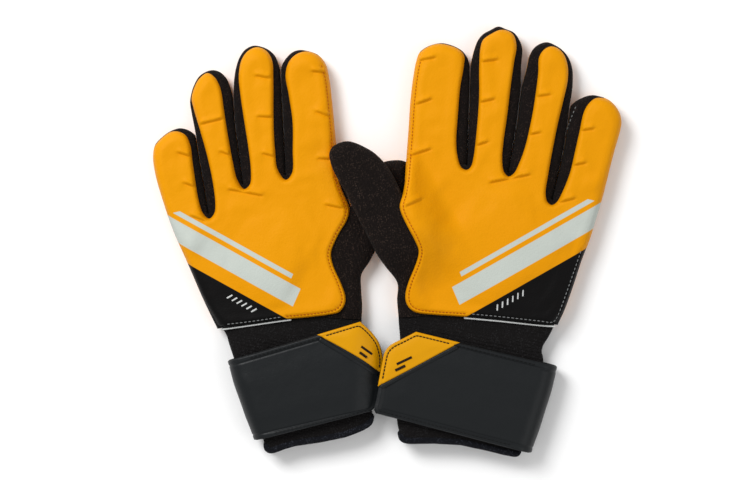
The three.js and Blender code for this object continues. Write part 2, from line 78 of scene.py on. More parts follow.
# Each glove's foam back panel and its fabric body, then the lines that its sleeve, strap, tab, prints,
# seams and flex bars follow. A point marked C is a corner.
GLOVES = {
    "left": {
        "foam": [
            (-93.9, -49.3, C), (-101.6, -33.4), (-110.7, -12.4), (-118.5, 5.2), (-124.5, 22.8),
            (-128.1, 35.5), (-129.5, 45.4), (-128.6, 50.9), (-124.8, 55.6), (-119.8, 59.2),
            (-115.4, 59.5), (-111.0, 57.3), (-108.5, 52.0), (-107.4, 43.8), (-105.8, 32.8),
            (-103.9, 21.7), (-101.6, 14.6), (-98.1, 11.5), (-95.3, 14.6), (-94.8, 20.1), (-96.4, 32.8),
            (-99.4, 46.5), (-103.3, 60.3), (-106.9, 72.4), (-108.0, 77.9), (-106.6, 83.5),
            (-103.9, 88.4), (-99.4, 91.7), (-95.3, 89.5), (-92.0, 83.5), (-89.8, 70.2), (-87.6, 56.5),
            (-85.1, 42.7), (-82.6, 32.8), (-78.8, 27.8), (-75.8, 30.3), (-75.2, 37.2), (-76.6, 50.4),
            (-78.8, 64.7), (-81.0, 79.6), (-81.9, 90.6), (-80.4, 98.9), (-76.9, 103.8), (-71.9, 106.0),
            (-66.9, 104.1), (-63.6, 98.9), (-62.8, 87.9), (-62.7, 68.6), (-61.9, 49.3), (-60.3, 38.3),
            (-55.9, 32.9), (-52.6, 36.6), (-52.2, 49.3), (-52.3, 64.7), (-54.3, 79.0), (-56.2, 90.6),
            (-54.3, 97.8), (-49.9, 102.2), (-43.8, 103.7), (-38.3, 101.6), (-34.4, 96.7), (-32.5, 89.0),
            (-30.8, 75.2), (-28.9, 54.8), (-28.6, 46.5), (-27.0, 33.9), (-25.1, 27.3), (-22.6, 21.7),
            (-20.9, 17.1), (-22.0, 11.4), (-26.9, 2.9), (-30.9, -6.4), (-30.9, -10.2), (-29.4, -15.5),
            (-25.6, -24.0), (-23.1, -31.7), (-23.7, -36.1), (-26.7, -40.0), (-31.7, -41.3),
            (-42.7, -42.7), (-54.8, -43.8), (-74.6, -46.6),
        ],
        "body": [
            (-92.6, -47.6, C), (-101.0, -33.4), (-110.2, -12.4), (-118.0, 5.2), (-124.0, 22.8),
            (-127.7, 35.5), (-129.2, 45.4), (-128.4, 52.0), (-124.0, 56.9), (-119.8, 59.8),
            (-114.9, 61.4), (-110.5, 60.6), (-107.6, 58.9), (-106.2, 57.6, C), (-104.0, 44.0),
            (-98.8, 14.4, C), (-103.3, 44.0), (-106.0, 58.4, C), (-106.9, 63.4), (-108.0, 69.0),
            (-109.0, 75.7), (-108.3, 80.7), (-106.6, 85.7), (-103.9, 90.1), (-100.0, 92.7),
            (-96.1, 93.5), (-92.3, 92.3), (-89.0, 89.0), (-86.8, 84.0), (-85.6, 80.1, C), (-84.2, 62.0),
            (-79.8, 30.6, C), (-83.5, 62.0), (-85.0, 80.4, C), (-84.9, 84.0), (-84.7, 88.0),
            (-83.7, 94.5), (-81.7, 100.5), (-78.5, 104.9), (-74.1, 107.0), (-70.2, 106.6),
            (-65.8, 104.8), (-62.3, 101.6), (-60.3, 97.2), (-59.3, 94.0, C), (-58.2, 70.0),
            (-56.3, 35.6, C), (-57.5, 70.0), (-58.8, 94.2, C), (-58.0, 96.9), (-55.6, 100.5),
            (-52.6, 103.3), (-48.8, 104.6), (-43.8, 104.0), (-38.3, 101.9), (-34.2, 96.9),
            (-32.2, 89.0), (-30.5, 75.2), (-28.6, 54.8), (-27.2, 44.0), (-23.8, 30.0), (-20.4, 18.0, C),
            (-15.4, 25.5), (-10.4, 33.0), (-7.0, 38.6), (-2.6, 42.5), (2.6, 43.7), (8.4, 43.5),
            (12.8, 41.2), (14.8, 36.6), (14.2, 31.0), (11.2, 25.0), (6.6, 18.0), (1.6, 10.4),
            (-2.8, 2.4), (-6.9, -6.4), (-10.4, -13.0), (-14.4, -19.4), (-14.5, -28.5), (-14.0, -36.1),
            (-14.3, -44.0, C), (-54.8, -42.6),
        ],
        "open_edge": ((-14.3, -44.0), (-54.8, -42.6), (-92.6, -47.6)),
        "valleys": {
            "index_middle": (-55.9, 32.9),
            "middle_ring": (-78.8, 27.8),
            "ring_pinky": (-98.1, 11.5),
        },
        "outer_side": ((-92.6, -47.6), (-110.2, -12.4), (-124.0, 22.8), (-129.2, 45.4)),
        "rim_side": ((-38.3, 101.9), (-32.2, 89.0), (-28.6, 54.8), (-26.4, 38.0)),
        "sleeve_thumb": [
            (-14.6, -36.0), (-14.3, -44.4), (-14.6, -54.0), (-12.0, -74.0), (-9.2, -90.0),
            (-8.3, -97.5),
        ],
        "sleeve_outer": [
            (-91.6, -38.0), (-91.4, -48.2), (-88.9, -52.6), (-87.2, -58.2), (-84.6, -66.0),
            (-79.0, -82.0), (-71.6, -100.0), (-67.2, -112.4),
        ],
        "mouth": [
            (-8.3, -97.5), (-9.6, -100.4), (-13.6, -103.0), (-22.0, -106.4), (-31.7, -109.1),
            (-46.8, -110.8), (-56.0, -113.2), (-64.6, -115.9), (-66.9, -114.8), (-67.2, -112.4),
        ],
        "strap_end": [
            (-15.1, -45.4), (-9.6, -50.6), (-5.5, -56.1), (-3.6, -61.5), (-3.0, -68.0), (-3.8, -74.0),
            (-4.7, -86.0), (-7.0, -92.0), (-9.6, -94.4),
        ],
        "strap_outer": [(-87.2, -66.4), (-84.5, -75.4), (-78.9, -91.2), (-72.4, -110.4)],
        "tab": [
            (-38.6, -52.1, C), (-15.0, -45.0, C), (-9.2, -50.4), (-5.0, -56.1), (-3.1, -61.6),
            (-2.4, -68.0), (-3.6, -73.6, C), (-13.0, -66.6), (-24.0, -60.0),
        ],
        "tab_mark": [((-15.2, -61.8), (-11.4, -64.6)), ((-14.4, -58.6), (-8.6, -62.9))],
        "print_line": ((-111.6, -12.4), (-54.8, -43.8)),
        "print_end": ((-49.0, -30.0), (-33.0, 6.0)),
        "white_marks": ((-88.0, -30.6), (-72.0, -39.6)),
        "piping": [(-91.4, -49.6), (-74.5, -47.2), (-60.0, -45.1), (-53.0, -44.2)],
        "white_seam": [(-88.4, -46.6), (-74.8, -45.0), (-58.4, -42.6)],
        "foam_seam": [
            (-56.0, -42.2), (-43.0, -41.0), (-32.0, -39.5), (-28.2, -38.4), (-25.5, -35.4),
            (-25.0, -31.7), (-27.4, -24.0), (-31.2, -15.5), (-32.7, -10.2), (-32.6, -6.4), (-28.7, 2.9),
            (-23.8, 11.4), (-22.8, 16.8), (-24.4, 21.4), (-26.8, 27.0), (-28.8, 33.9),
        ],
        "rim_seam": [
            (-28.8, 33.9), (-30.4, 46.5), (-30.8, 54.8), (-32.6, 75.2), (-34.3, 88.6), (-36.4, 96.0),
        ],
        "welts": [
            ((-41.6, 91.7), (-34.4, 91.1)), ((-39.8, 69.9), (-32.2, 67.1)),
            ((-38.5, 44.0), (-31.5, 43.4)), ((-34.2, 18.6), (-25.0, 16.6)),
            ((-73.0, 89.5), (-64.7, 88.0)), ((-71.5, 67.1), (-63.2, 66.4)),
            ((-68.7, 46.8), (-62.1, 44.8)), ((-102.2, 62.8), (-90.6, 65.7)),
            ((-92.4, 47.8), (-86.0, 45.5)), ((-115.4, 47.3), (-108.4, 45.0)),
            ((-112.2, 30.7), (-105.4, 28.0)), ((-108.3, 12.5), (-100.0, 9.6)),
            ((-87.3, 26.9), (-68.8, 23.5)),
        ],
    },
    "right": {
        "foam": [
            (94.0, -47.1, C), (97.8, -38.9), (102.8, -25.1), (107.7, -10.2), (111.6, -0.3),
            (115.4, 11.8), (119.0, 23.9), (122.6, 38.3), (125.9, 50.9), (128.7, 60.8), (129.2, 65.8),
            (127.3, 71.3), (123.4, 75.7), (118.8, 78.0), (114.3, 77.7), (110.5, 74.6), (108.0, 70.2),
            (105.5, 59.2), (103.3, 49.3), (100.3, 36.6), (96.7, 27.3), (93.1, 20.6), (90.4, 19.0),
            (87.9, 20.9), (87.0, 26.1), (88.2, 34.4), (90.7, 48.7), (93.7, 63.6), (97.0, 77.4),
            (99.2, 87.9), (99.2, 95.6), (97.0, 102.2), (93.4, 105.6), (89.6, 106.3), (85.7, 104.1),
            (83.3, 100.0), (82.8, 91.2), (81.3, 79.0), (78.8, 64.7), (75.8, 51.5), (72.7, 42.7),
            (69.4, 36.3), (66.7, 34.7), (64.2, 37.2), (63.1, 43.8), (63.8, 53.7), (65.9, 68.6),
            (67.8, 84.6), (69.7, 97.8), (71.0, 106.6), (69.4, 112.7), (65.9, 115.2), (62.0, 115.4),
            (57.0, 113.2), (52.6, 109.9), (51.1, 105.5), (50.4, 94.5), (50.3, 76.8), (48.9, 59.2),
            (47.4, 46.0), (46.0, 40.5), (43.8, 38.4), (40.8, 39.6), (38.6, 45.4), (37.8, 53.7),
            (38.6, 66.9), (40.0, 83.5), (41.9, 94.5), (42.3, 101.1), (40.0, 104.4), (34.5, 106.9),
            (27.8, 107.9), (22.3, 106.3), (17.9, 103.0), (16.3, 98.9), (14.6, 90.1), (13.0, 76.8),
            (11.9, 60.3), (10.6, 43.8), (9.7, 32.8), (8.3, 25.0), (6.5, 18.2), (7.2, 14.6), (10.8, 6.9),
            (14.6, -0.3), (16.8, -5.8), (16.5, -9.7), (14.1, -16.8), (11.6, -22.9), (9.8, -29.5),
            (9.9, -33.9), (11.9, -37.8), (15.7, -40.2), (23.4, -41.3), (40.0, -42.4), (62.0, -44.4),
            (84.0, -46.9),
        ],
        "body": [
            (92.6, -45.4, C), (97.2, -38.9), (102.2, -25.1), (107.1, -10.2), (111.0, -0.3),
            (114.8, 11.8), (118.5, 23.9), (122.1, 38.3), (125.5, 50.9), (128.4, 60.8), (129.0, 65.8),
            (127.3, 71.6), (123.4, 76.2), (119.6, 78.3), (116.5, 79.2), (113.8, 79.7), (110.5, 79.3),
            (106.6, 77.8), (103.0, 75.6), (101.2, 73.6, C), (97.6, 50.0), (90.8, 22.0, C), (96.9, 50.0),
            (100.6, 74.4, C), (101.6, 79.6), (102.3, 86.2), (102.1, 93.9), (100.0, 100.3),
            (96.2, 104.9), (92.3, 107.4), (88.4, 108.9), (84.6, 108.2), (81.0, 105.8), (78.5, 101.6),
            (76.9, 94.5), (74.9, 86.8), (74.2, 84.4, C), (71.2, 60.0), (66.6, 37.5, C), (70.5, 60.0),
            (73.6, 84.4, C), (73.8, 95.6), (74.4, 105.5), (72.5, 110.7), (69.7, 114.3), (65.3, 116.2),
            (61.2, 117.6), (57.0, 115.7), (52.6, 113.2), (49.9, 109.9), (47.9, 104.7), (46.7, 100.0),
            (46.0, 96.1, C), (45.4, 70.0), (43.9, 41.0, C), (44.7, 70.0), (45.4, 96.1, C),
            (44.1, 100.3), (41.6, 103.8), (38.3, 106.0), (33.9, 107.7), (29.5, 108.4), (22.3, 106.6),
            (17.7, 103.2), (16.0, 98.9), (14.3, 90.1), (12.7, 76.8), (11.6, 60.3), (10.3, 43.8),
            (9.5, 32.8), (8.4, 24.0, C), (6.4, 28.0), (2.6, 35.6), (-2.4, 42.6), (-7.3, 47.3),
            (-11.6, 50.0), (-17.7, 52.8), (-22.0, 53.7), (-26.3, 52.8), (-30.0, 50.7), (-31.9, 47.1),
            (-31.5, 43.4), (-30.2, 38.9), (-27.1, 32.8), (-23.4, 26.1), (-19.0, 17.3), (-14.0, 7.4),
            (-9.6, -0.9), (-6.3, -7.5), (-1.4, -14.6), (5.4, -24.0), (5.3, -33.4), (6.1, -43.0, C),
            (40.0, -41.2),
        ],
        "open_edge": ((6.1, -43.0), (40.0, -41.2), (92.6, -45.4)),
        "valleys": {
            "index_middle": (43.8, 38.4),
            "middle_ring": (66.7, 34.7),
            "ring_pinky": (90.4, 19.0),
        },
        "outer_side": (
            (92.6, -45.4), (107.1, -10.2), (118.5, 23.9), (129.0, 65.8), (127.3, 71.6), (123.4, 76.2),
            (119.6, 78.3),
        ),
        "rim_side": ((17.7, 103.2), (14.3, 90.1), (11.6, 60.3), (9.5, 32.8)),
        "sleeve_thumb": [
            (6.1, -36.0), (6.1, -44.4), (6.9, -55.4), (6.0, -76.0), (5.0, -94.0), (5.4, -101.0),
            (6.6, -107.0),
        ],
        "sleeve_outer": [
            (91.0, -36.0), (92.0, -46.6), (88.8, -53.8), (85.8, -58.7), (85.1, -62.2), (86.0, -66.0),
            (82.0, -84.0), (74.4, -110.0), (73.4, -114.6),
        ],
        "mouth": [
            (6.6, -107.0), (7.4, -109.2), (10.2, -110.4), (20.0, -110.5), (31.5, -110.4),
            (41.6, -111.4), (56.5, -114.7), (66.8, -117.2), (71.6, -117.6), (73.4, -114.6),
        ],
        "strap_end": [
            (15.7, -51.0), (8.6, -54.6), (1.8, -58.2), (-1.0, -61.6), (-2.6, -68.2), (-4.8, -80.4),
            (-6.2, -88.0), (-7.4, -93.0), (-6.4, -95.2),
        ],
        "strap_outer": [(92.5, -69.4), (91.4, -74.6), (85.1, -95.0), (78.2, -117.4)],
        "tab": [
            (39.6, -56.4, C), (15.6, -50.5, C), (8.4, -54.2), (1.4, -57.9), (-1.5, -61.5),
            (-3.1, -68.2), (-5.4, -80.4, C), (10.0, -72.4),
        ],
        "tab_mark": [((4.2, -71.6), (9.6, -69.0)), ((5.0, -68.2), (13.2, -64.3))],
        "print_line": ((110.5, -4.2), (42.7, -42.7)),
        "print_end": ((37.0, -30.0), (21.0, 8.0)),
        "white_marks": ((58.8, -38.0), (75.6, -28.6)),
        "gusset_seam": [(103.9, 73.6), (101.6, 68.0), (99.0, 60.3)],
        "piping": [(92.2, -47.9), (84.0, -47.3), (62.0, -45.0), (48.0, -43.7), (42.0, -43.2)],
        "white_seam": [
            (46.0, -40.9), (62.0, -42.4), (84.0, -44.8), (91.2, -45.4), (93.2, -42.6), (95.6, -36.6),
            (100.8, -22.0), (106.4, -6.0),
        ],
        "foam_seam": [
            (43.0, -40.7), (23.4, -39.4), (16.8, -38.4), (13.4, -36.6), (11.8, -33.4), (11.7, -29.5),
            (13.4, -22.9), (15.9, -16.8), (18.3, -9.7), (18.6, -5.4), (16.4, 0.5), (12.6, 7.7),
            (9.0, 15.0), (8.4, 18.2), (10.1, 24.6), (11.5, 32.8),
        ],
        "rim_seam": [
            (11.5, 32.8), (12.5, 43.8), (13.8, 60.3), (14.9, 76.8), (16.5, 90.1), (18.0, 98.0),
        ],
        "welts": [
            ((17.8, 97.8), (26.2, 99.4)), ((16.1, 73.7), (24.3, 76.7)), ((12.6, 45.4), (23.9, 49.2)),
            ((10.2, 17.6), (19.0, 21.7)), ((52.1, 97.0), (60.6, 98.3)), ((50.5, 74.6), (58.8, 76.6)),
            ((48.9, 51.0), (55.4, 53.2)), ((82.0, 77.9), (89.6, 79.0)), ((78.0, 57.0), (84.0, 58.2)),
            ((106.6, 59.2), (113.4, 60.4)), ((101.2, 39.9), (109.0, 41.6)),
            ((93.4, 19.6), (103.0, 22.0)), ((56.0, 30.6), (78.2, 35.0)),
        ],
    },
}

# ---- Heights and sizes (mm) ----------------------------------------------------------------------

SEAM_Z = 7.2  # where the body's top and bottom are sewn together
BODY_TOP = 12.4
BODY_BOTTOM = 3.8
BODY_ROUND = 6.5  # how far inside its seam the body reaches its full height
SKIN = 1.0  # thickness of the body's fabric
WEB_REACH = 9.0  # how far round a valley's bottom the web between two fingers reaches
PALM_EDGE = 4.4
MOUTH_TUCK = 0.5  # how far the body's top dips at its open edge, under the foam
FOAM = 3.5  # thickness of the back foam, how wide its rounded edge is, and how deep it is sunk
FOAM_EDGE = 2.3
FOAM_SUNK = 0.3
SWELL = 2.2  # the most that it swells between its seams
SIM_GRID = 2.6  # spacing of the simulated sheet's points, and the pressure and length of its run
PRESSURE = 4
SIM_FRAMES = 20
SPREAD_REACH = 1.9  # how far round it each simulated point counts
PIPING_TOP = 13.2
RIM = 2.9  # the palm foam's edge rolled up round the glove's outer sides
FINGER_CUT = -3.0  # where a finger starts, measured from its bend
THUMB_CUT = 1.5
BLEND = 14.0  # and a point this far past its start is worked out, which nothing uses
LIFT = 13.8  # the right glove's lift over the left thumb
PRESSED = 0.5  # how much it flattens that thumb's tip, and from which x on
PRESSED_FROM = 7.5
SLEEVE_Z = 8.0  # the sleeve's middle, and how far it stands above and below that
SLEEVE_TALL = 5.9
SLEEVE_FLATNESS = 0.32  # its section: powers of a circle's cosine and sine
SLEEVE_CROWN = 0.85
SLEEVE_THICK = 1.6
STRAP_TOP = 17.9  # middle of the strap's thickness, on top and underneath
STRAP_UNDER = 1.4
STRAP_THICK = 2.2
STRAP_STEP = 1.3  # spacing of its rows of points, and how many rows each quarter of its fold has
FOLD_ROWS = 12
UNDER_STOP = {"left": 26.0, "right": 34.0}  # how far short of the free end it stops underneath
TAB_SEAM = 1.9  # how far inside the tab's edge its stitching runs
PRINT_DASHES = 6

# The back panel's stitching: its outline's name, its look, and each stitch's pitch, length and radius.
SEAM_THREADS = (
    ("foam_seam", "orange", 1.9, 1.3, 0.24),
    ("white_seam", "grey", 2.4, 1.6, 0.26),
    ("rim_seam", "orange", 1.9, 1.3, 0.24),
)

JOINTS = {joint["name"]: joint for joint in frame["joints"]}


class Finger:
    """A finger's place in plan: its bend and the directions along and across it."""

    def __init__(self, side, name):
        joint = JOINTS[f"{side}_{name}_bend"]
        self.body = joint["child"]
        self.hand = joint["parent"]
        self.root = np.array(joint["pos_m"][:2]) / MM
        self.across = np.array(joint["axis"][:2])
        self.along = left_of(self.across)
        is_thumb = name == "thumb"
        self.cut = THUMB_CUT if is_thumb else FINGER_CUT
        # A point well inside the finger.
        self.middle = self.point(14 if is_thumb else 25)

    def place(self, xy):
        away = np.asarray(xy) - self.root
        return away @ self.along, away @ self.across

    def point(self, along, across=0.0):
        return self.root + along * self.along + across * self.across

    def cut_line(self, reach, count):
        """Points across the finger where it starts, this far to both sides."""
        return [self.point(self.cut, t) for t in np.linspace(-reach, reach, count)]


# ---- Plane geometry ------------------------------------------------------------------------------


def unit(v):
    return v / np.linalg.norm(v)


def left_of(v):
    """A plane direction turned a quarter turn to the left."""
    return np.array([-v[1], v[0]])


def spline_run(points, step):
    """A smooth open line through the points, without its last point."""
    p = np.array([q[:2] for q in points], float)
    p = np.vstack([2 * p[0] - p[1], p, 2 * p[-1] - p[-2]])
    made = []
    for a, b, c, d in zip(p, p[1:], p[2:], p[3:]):
        t0 = 0.0
        t1 = t0 + max(1e-6, np.linalg.norm(b - a)) ** 0.5
        t2 = t1 + max(1e-6, np.linalg.norm(c - b)) ** 0.5
        t3 = t2 + max(1e-6, np.linalg.norm(d - c)) ** 0.5
        count = max(1, int(round(np.linalg.norm(c - b) / step)))
        for t in np.linspace(t1, t2, count, endpoint=False):
            ab = (t1 - t) / (t1 - t0) * a + (t - t0) / (t1 - t0) * b
            bc = (t2 - t) / (t2 - t1) * b + (t - t1) / (t2 - t1) * c
            cd = (t3 - t) / (t3 - t2) * c + (t - t2) / (t3 - t2) * d
            abc = (t2 - t) / (t2 - t0) * ab + (t - t0) / (t2 - t0) * bc
            bcd = (t3 - t) / (t3 - t1) * bc + (t - t1) / (t3 - t1) * cd
            made.append((t2 - t) / (t2 - t1) * abc + (t - t1) / (t2 - t1) * bcd)
    return made


def closed_line(points, step=0.9):
    """A closed smooth line through the points, sharp at the ones marked as corners."""
    corners = [i for i, p in enumerate(points) if len(p) > 2]
    start = corners[0]
    turned = points[start:] + points[:start]
    marks = [i for i, p in enumerate(turned) if len(p) > 2] + [len(turned)]
    turned = turned + [turned[0]]
    made = []
    for first, last in zip(marks, marks[1:]):
        made += spline_run(turned[first : last + 1], step)
    return np.array(made)


def open_line(points, step=0.9):
    return np.array(spline_run(points, step) + [np.array(points[-1][:2], float)])


def run_length(line):
    """How far along an open line each of its points is."""
    return np.concatenate([[0], np.cumsum(np.linalg.norm(np.diff(line, axis=0), axis=1))])


def picked(line, run, at):
    """Points of a line where its running measure has these values."""
    return np.stack([np.interp(at, run, column) for column in line.T], axis=1)


def evenly(line, step):
    """The same open line with points this far apart."""
    run = run_length(line)
    count = max(2, int(round(run[-1] / step)) + 1)
    return picked(line, run, np.linspace(0, run[-1], count))


def side_points(line, shares):
    """Points of an outline's side at shares of its length."""
    even = evenly(open_line(line), 0.5)
    return picked(even, np.linspace(0, 1, len(even)), shares)


def distance(points, line, closed=False):
    """Each point's distance from a line."""
    a = line if closed else line[:-1]
    b = np.roll(line, -1, axis=0) if closed else line[1:]
    d = b - a
    size = np.maximum((d * d).sum(1), 1e-12)
    best = np.empty(len(points))
    for i in range(0, len(points), 400):
        x = points[i : i + 400, :1] - a[:, 0]
        y = points[i : i + 400, 1:] - a[:, 1]
        t = np.clip((x * d[:, 0] + y * d[:, 1]) / size, 0, 1)
        x -= t * d[:, 0]
        y -= t * d[:, 1]
        best[i : i + 400] = np.sqrt((x * x + y * y).min(1))
    return best


def edge_distance(points, line, closed=False):
    """Each point's distance from a line, and exactly 0 where it is on the line."""
    away = distance(points, line, closed)
    away[away < 1e-3] = 0
    return away


def inside(points, line):
    """Whether each point is inside a closed line."""
    a, b = line, np.roll(line, -1, axis=0)
    found = np.zeros(len(points), bool)
    for i in range(0, len(points), 2000):
        x, y = points[i : i + 2000, :1], points[i : i + 2000, 1:]
        spans = (a[:, 1] > y) != (b[:, 1] > y)
        rise = np.where(b[:, 1] == a[:, 1], 1.0, b[:, 1] - a[:, 1])
        crossing = a[:, 0] + (y - a[:, 1]) * (b[:, 0] - a[:, 0]) / rise
        found[i : i + 2000] = (spans & (x < crossing)).sum(1) % 2 == 1
    return found


def area(line):
    x, y = line[:, 0], line[:, 1]
    return 0.5 * float(np.sum(x * np.roll(y, -1) - np.roll(x, -1) * y))


def plan(outline, spacing, rings, lines=(), extra=None):
    """Triangles inside an outline. Rings follow its edge inwards, and lines become edges too."""
    normal = np.roll(outline, -1, axis=0) - np.roll(outline, 1, axis=0)
    normal = np.stack([-normal[:, 1], normal[:, 0]], axis=1) * math.copysign(1, area(outline))
    normal /= np.maximum(np.linalg.norm(normal, axis=1), 1e-9)[:, None]
    points = [outline]
    for depth in rings:
        ring = outline + normal * depth
        kept = (distance(ring, outline, True) > depth * 0.96) & inside(ring, outline)
        points.append(ring[kept])
    low, high = outline.min(0), outline.max(0)
    rows = np.arange(low[1], high[1], spacing * 0.866)
    columns = np.arange(low[0], high[0], spacing)
    grid = np.array([(x + (j % 2) * spacing / 2, y) for j, y in enumerate(rows) for x in columns])
    grid = grid[inside(grid, outline)]
    grid = grid[distance(grid, outline, True) > rings[-1] + spacing * 0.6]
    if extra is not None:
        extra = extra[inside(extra, outline)]
        extra = extra[distance(extra, outline, True) > 0.5]
        near = np.array([np.min(np.sum((extra - g) ** 2, axis=1)) for g in grid])
        grid = grid[near > (spacing * 0.55) ** 2]
        points.append(extra)
    points.append(grid)
    edges = [(i, (i + 1) % len(outline)) for i in range(len(outline))]
    for line in lines:
        first = sum(len(p) for p in points)
        points.append(np.asarray(line, float))
        edges += [(first + i, first + i + 1) for i in range(len(line) - 1)]
    coords = [Vector((float(x), float(y))) for x, y in np.vstack(points)]
    made, _, faces, *_ = delaunay_2d_cdt(coords, edges, [], 1, 1e-4)
    xy = np.array([(v.x, v.y) for v in made])
    tris = np.array([f for f in faces if len(f) == 3])
    flat = np.cross(xy[tris[:, 1]] - xy[tris[:, 0]], xy[tris[:, 2]] - xy[tris[:, 0]])
    tris[flat < 0] = tris[flat < 0][:, ::-1]
    tris = tris[np.abs(flat) > 1e-7]
    middle = xy[tris].mean(1)
    return xy, tris[inside(middle, outline)]


def triangle_edges(tri):
    """A triangle's three edges, each with its lower point first."""
    return [(min(a, b), max(a, b)) for a, b in zip(tri, np.roll(tri, -1))]


def regions(xy, tris, fingers):
    """Which part each triangle is in: 0 for the hand, then 1 for the first finger and so on."""
    neighbours = {}
    for i, tri in enumerate(tris):
        for edge in triangle_edges(tri):
            neighbours.setdefault(edge, []).append(i)
    middle = xy[tris].mean(1)
    part = np.zeros(len(tris), int)
    for k, finger in enumerate(fingers):
        on_cut = np.abs(finger.place(xy)[0] - finger.cut) < 1e-3
        first = int(np.argmin(np.sum((middle - finger.middle) ** 2, axis=1)))
        todo = [first]
        part[first] = k + 1
        while todo:
            for p, q in triangle_edges(tris[todo.pop()]):
                if on_cut[p] and on_cut[q]:
                    continue
                for j in neighbours[(p, q)]:
                    if part[j] == 0:
                        part[j] = k + 1
                        todo.append(j)
    return part


def profile(t):
    """A rounded edge: 0 at the edge, 1 inside."""
    return np.sqrt(np.maximum(0.0, 1 - (1 - np.clip(t, 0, 1)) ** 2))


def smooth(t):
    t = np.clip(t, 0, 1)
    return t * t * (3 - 2 * t)


def wobble(xy, size, seed):
    """Smooth random bumps between about -1 and 1, the same each run."""
    rng = np.random.default_rng(seed)
    total = np.zeros(len(xy))
    for _ in range(7):
        direction = rng.normal(size=2)
        direction /= np.linalg.norm(direction)
        stretch = 2 * math.pi / size * rng.uniform(0.6, 1.5)
        total += np.sin(xy @ direction * stretch + rng.uniform(0, 6.3))
    return total / 4


# ---- Meshes --------------------------------------------------------------------------------------


def make_object(name, points, faces, material):
    """A smooth-shaded mesh in the scene, from points in millimetres and one material or a list."""
    mesh = bpy.data.meshes.new(name)
    corners = [tuple(p) for p in np.asarray(points) * MM]
    mesh.from_pydata(corners, [], [tuple(int(i) for i in face) for face in faces])
    mesh.validate()
    mesh.update()
    made = bpy.data.objects.new(name, mesh)
    bpy.context.scene.collection.objects.link(made)
    for slot in material if isinstance(material, list) else [material]:
        mesh.materials.append(slot)
    mesh.polygons.foreach_set("use_smooth", [True] * len(mesh.polygons))
    return made


def sheet_normals(points, tris):
    n = np.zeros_like(points)
    face = np.cross(points[tris[:, 1]] - points[tris[:, 0]], points[tris[:, 2]] - points[tris[:, 0]])
    for k in range(3):
        np.add.at(n, tris[:, k], face)
    return n / np.maximum(np.linalg.norm(n, axis=1), 1e-12)[:, None]


def two_sheets(xy, tris, top, bottom):
    """Points of a top and a bottom sheet that share the ones where they meet.

    Returns the points and, for each of xy, its index on the top and on the bottom.
    """
    used = np.unique(tris)
    index_up = -np.ones(len(xy), int)
    index_up[used] = np.arange(len(used))
    below = used[np.abs(top - bottom)[used] >= 1e-4]
    index_down = index_up.copy()
    index_down[below] = len(used) + np.arange(len(below))
    upper, lower = np.column_stack([xy, top])[used], np.column_stack([xy, bottom])[below]
    return np.vstack([upper, lower]), index_up, index_down


def open_edges(tris):
    """The edges that only one triangle has, in that triangle's direction."""
    edges = dict.fromkeys((tri[k], tri[(k + 1) % 3]) for tri in tris for k in range(3))
    return [(a, b) for a, b in edges if (b, a) not in edges]


def pad(name, xy, tris, top, bottom, material, wanted=None):
    """A closed pad between two height sheets, made of the wanted triangles, or of all.

    Its shading normals come from the whole sheet, so neighbouring parts look like one surface.
    """
    up_normals = sheet_normals(np.column_stack([xy, top]), tris)
    down_normals = -sheet_normals(np.column_stack([xy, bottom]), tris)
    mine = tris if wanted is None else tris[wanted]
    points, index_up, index_down = two_sheets(xy, mine, top, bottom)
    faces = [tuple(index_up[t]) for t in mine] + [tuple(index_down[t]) for t in mine[:, ::-1]]
    normals = [up_normals[v] for t in mine for v in t]
    normals += [down_normals[v] for t in mine[:, ::-1] for v in t]
    for a, b in open_edges(mine):
        ring = list(dict.fromkeys([index_up[b], index_up[a], index_down[a], index_down[b]]))
        if len(ring) < 3:
            continue
        faces.append(tuple(ring))
        corner = points[ring]
        n = np.cross(corner[1] - corner[0], corner[2] - corner[0])
        n /= max(np.linalg.norm(n), 1e-12)
        normals += [n] * len(ring)
    made = make_object(name, points, faces, material)
    if len(made.data.loops) == len(normals):
        made.data.normals_split_custom_set([tuple(n) for n in normals])
    return made


def shell(name, xy, tris, top, bottom, looks, rims):
    """A hollow skin of two height sheets sewn together at their edge, open where they are apart.

    Triangles marked as rims have the second look.
    """
    points, index_up, index_down = two_sheets(xy, tris, top, bottom)
    faces = [tuple(index_up[t]) for t in tris] + [tuple(index_down[t]) for t in tris[:, ::-1]]
    made = make_object(name, points, faces, looks)
    made.data.polygons.foreach_set("material_index", np.concatenate([rims, rims]).astype(int))
    thicken(made)
    return made


def thicken(made):
    """Gives a skin its thickness, on the inside."""
    solid = made.modifiers.new("thickness", "SOLIDIFY")
    solid.thickness = SKIN * MM
    solid.offset = -1
    solid.use_even_offset = False
    graph = bpy.context.evaluated_depsgraph_get()
    mesh = bpy.data.meshes.new_from_object(made.evaluated_get(graph))
    old = made.data
    made.modifiers.clear()
    made.data = mesh
    bpy.data.meshes.remove(old)


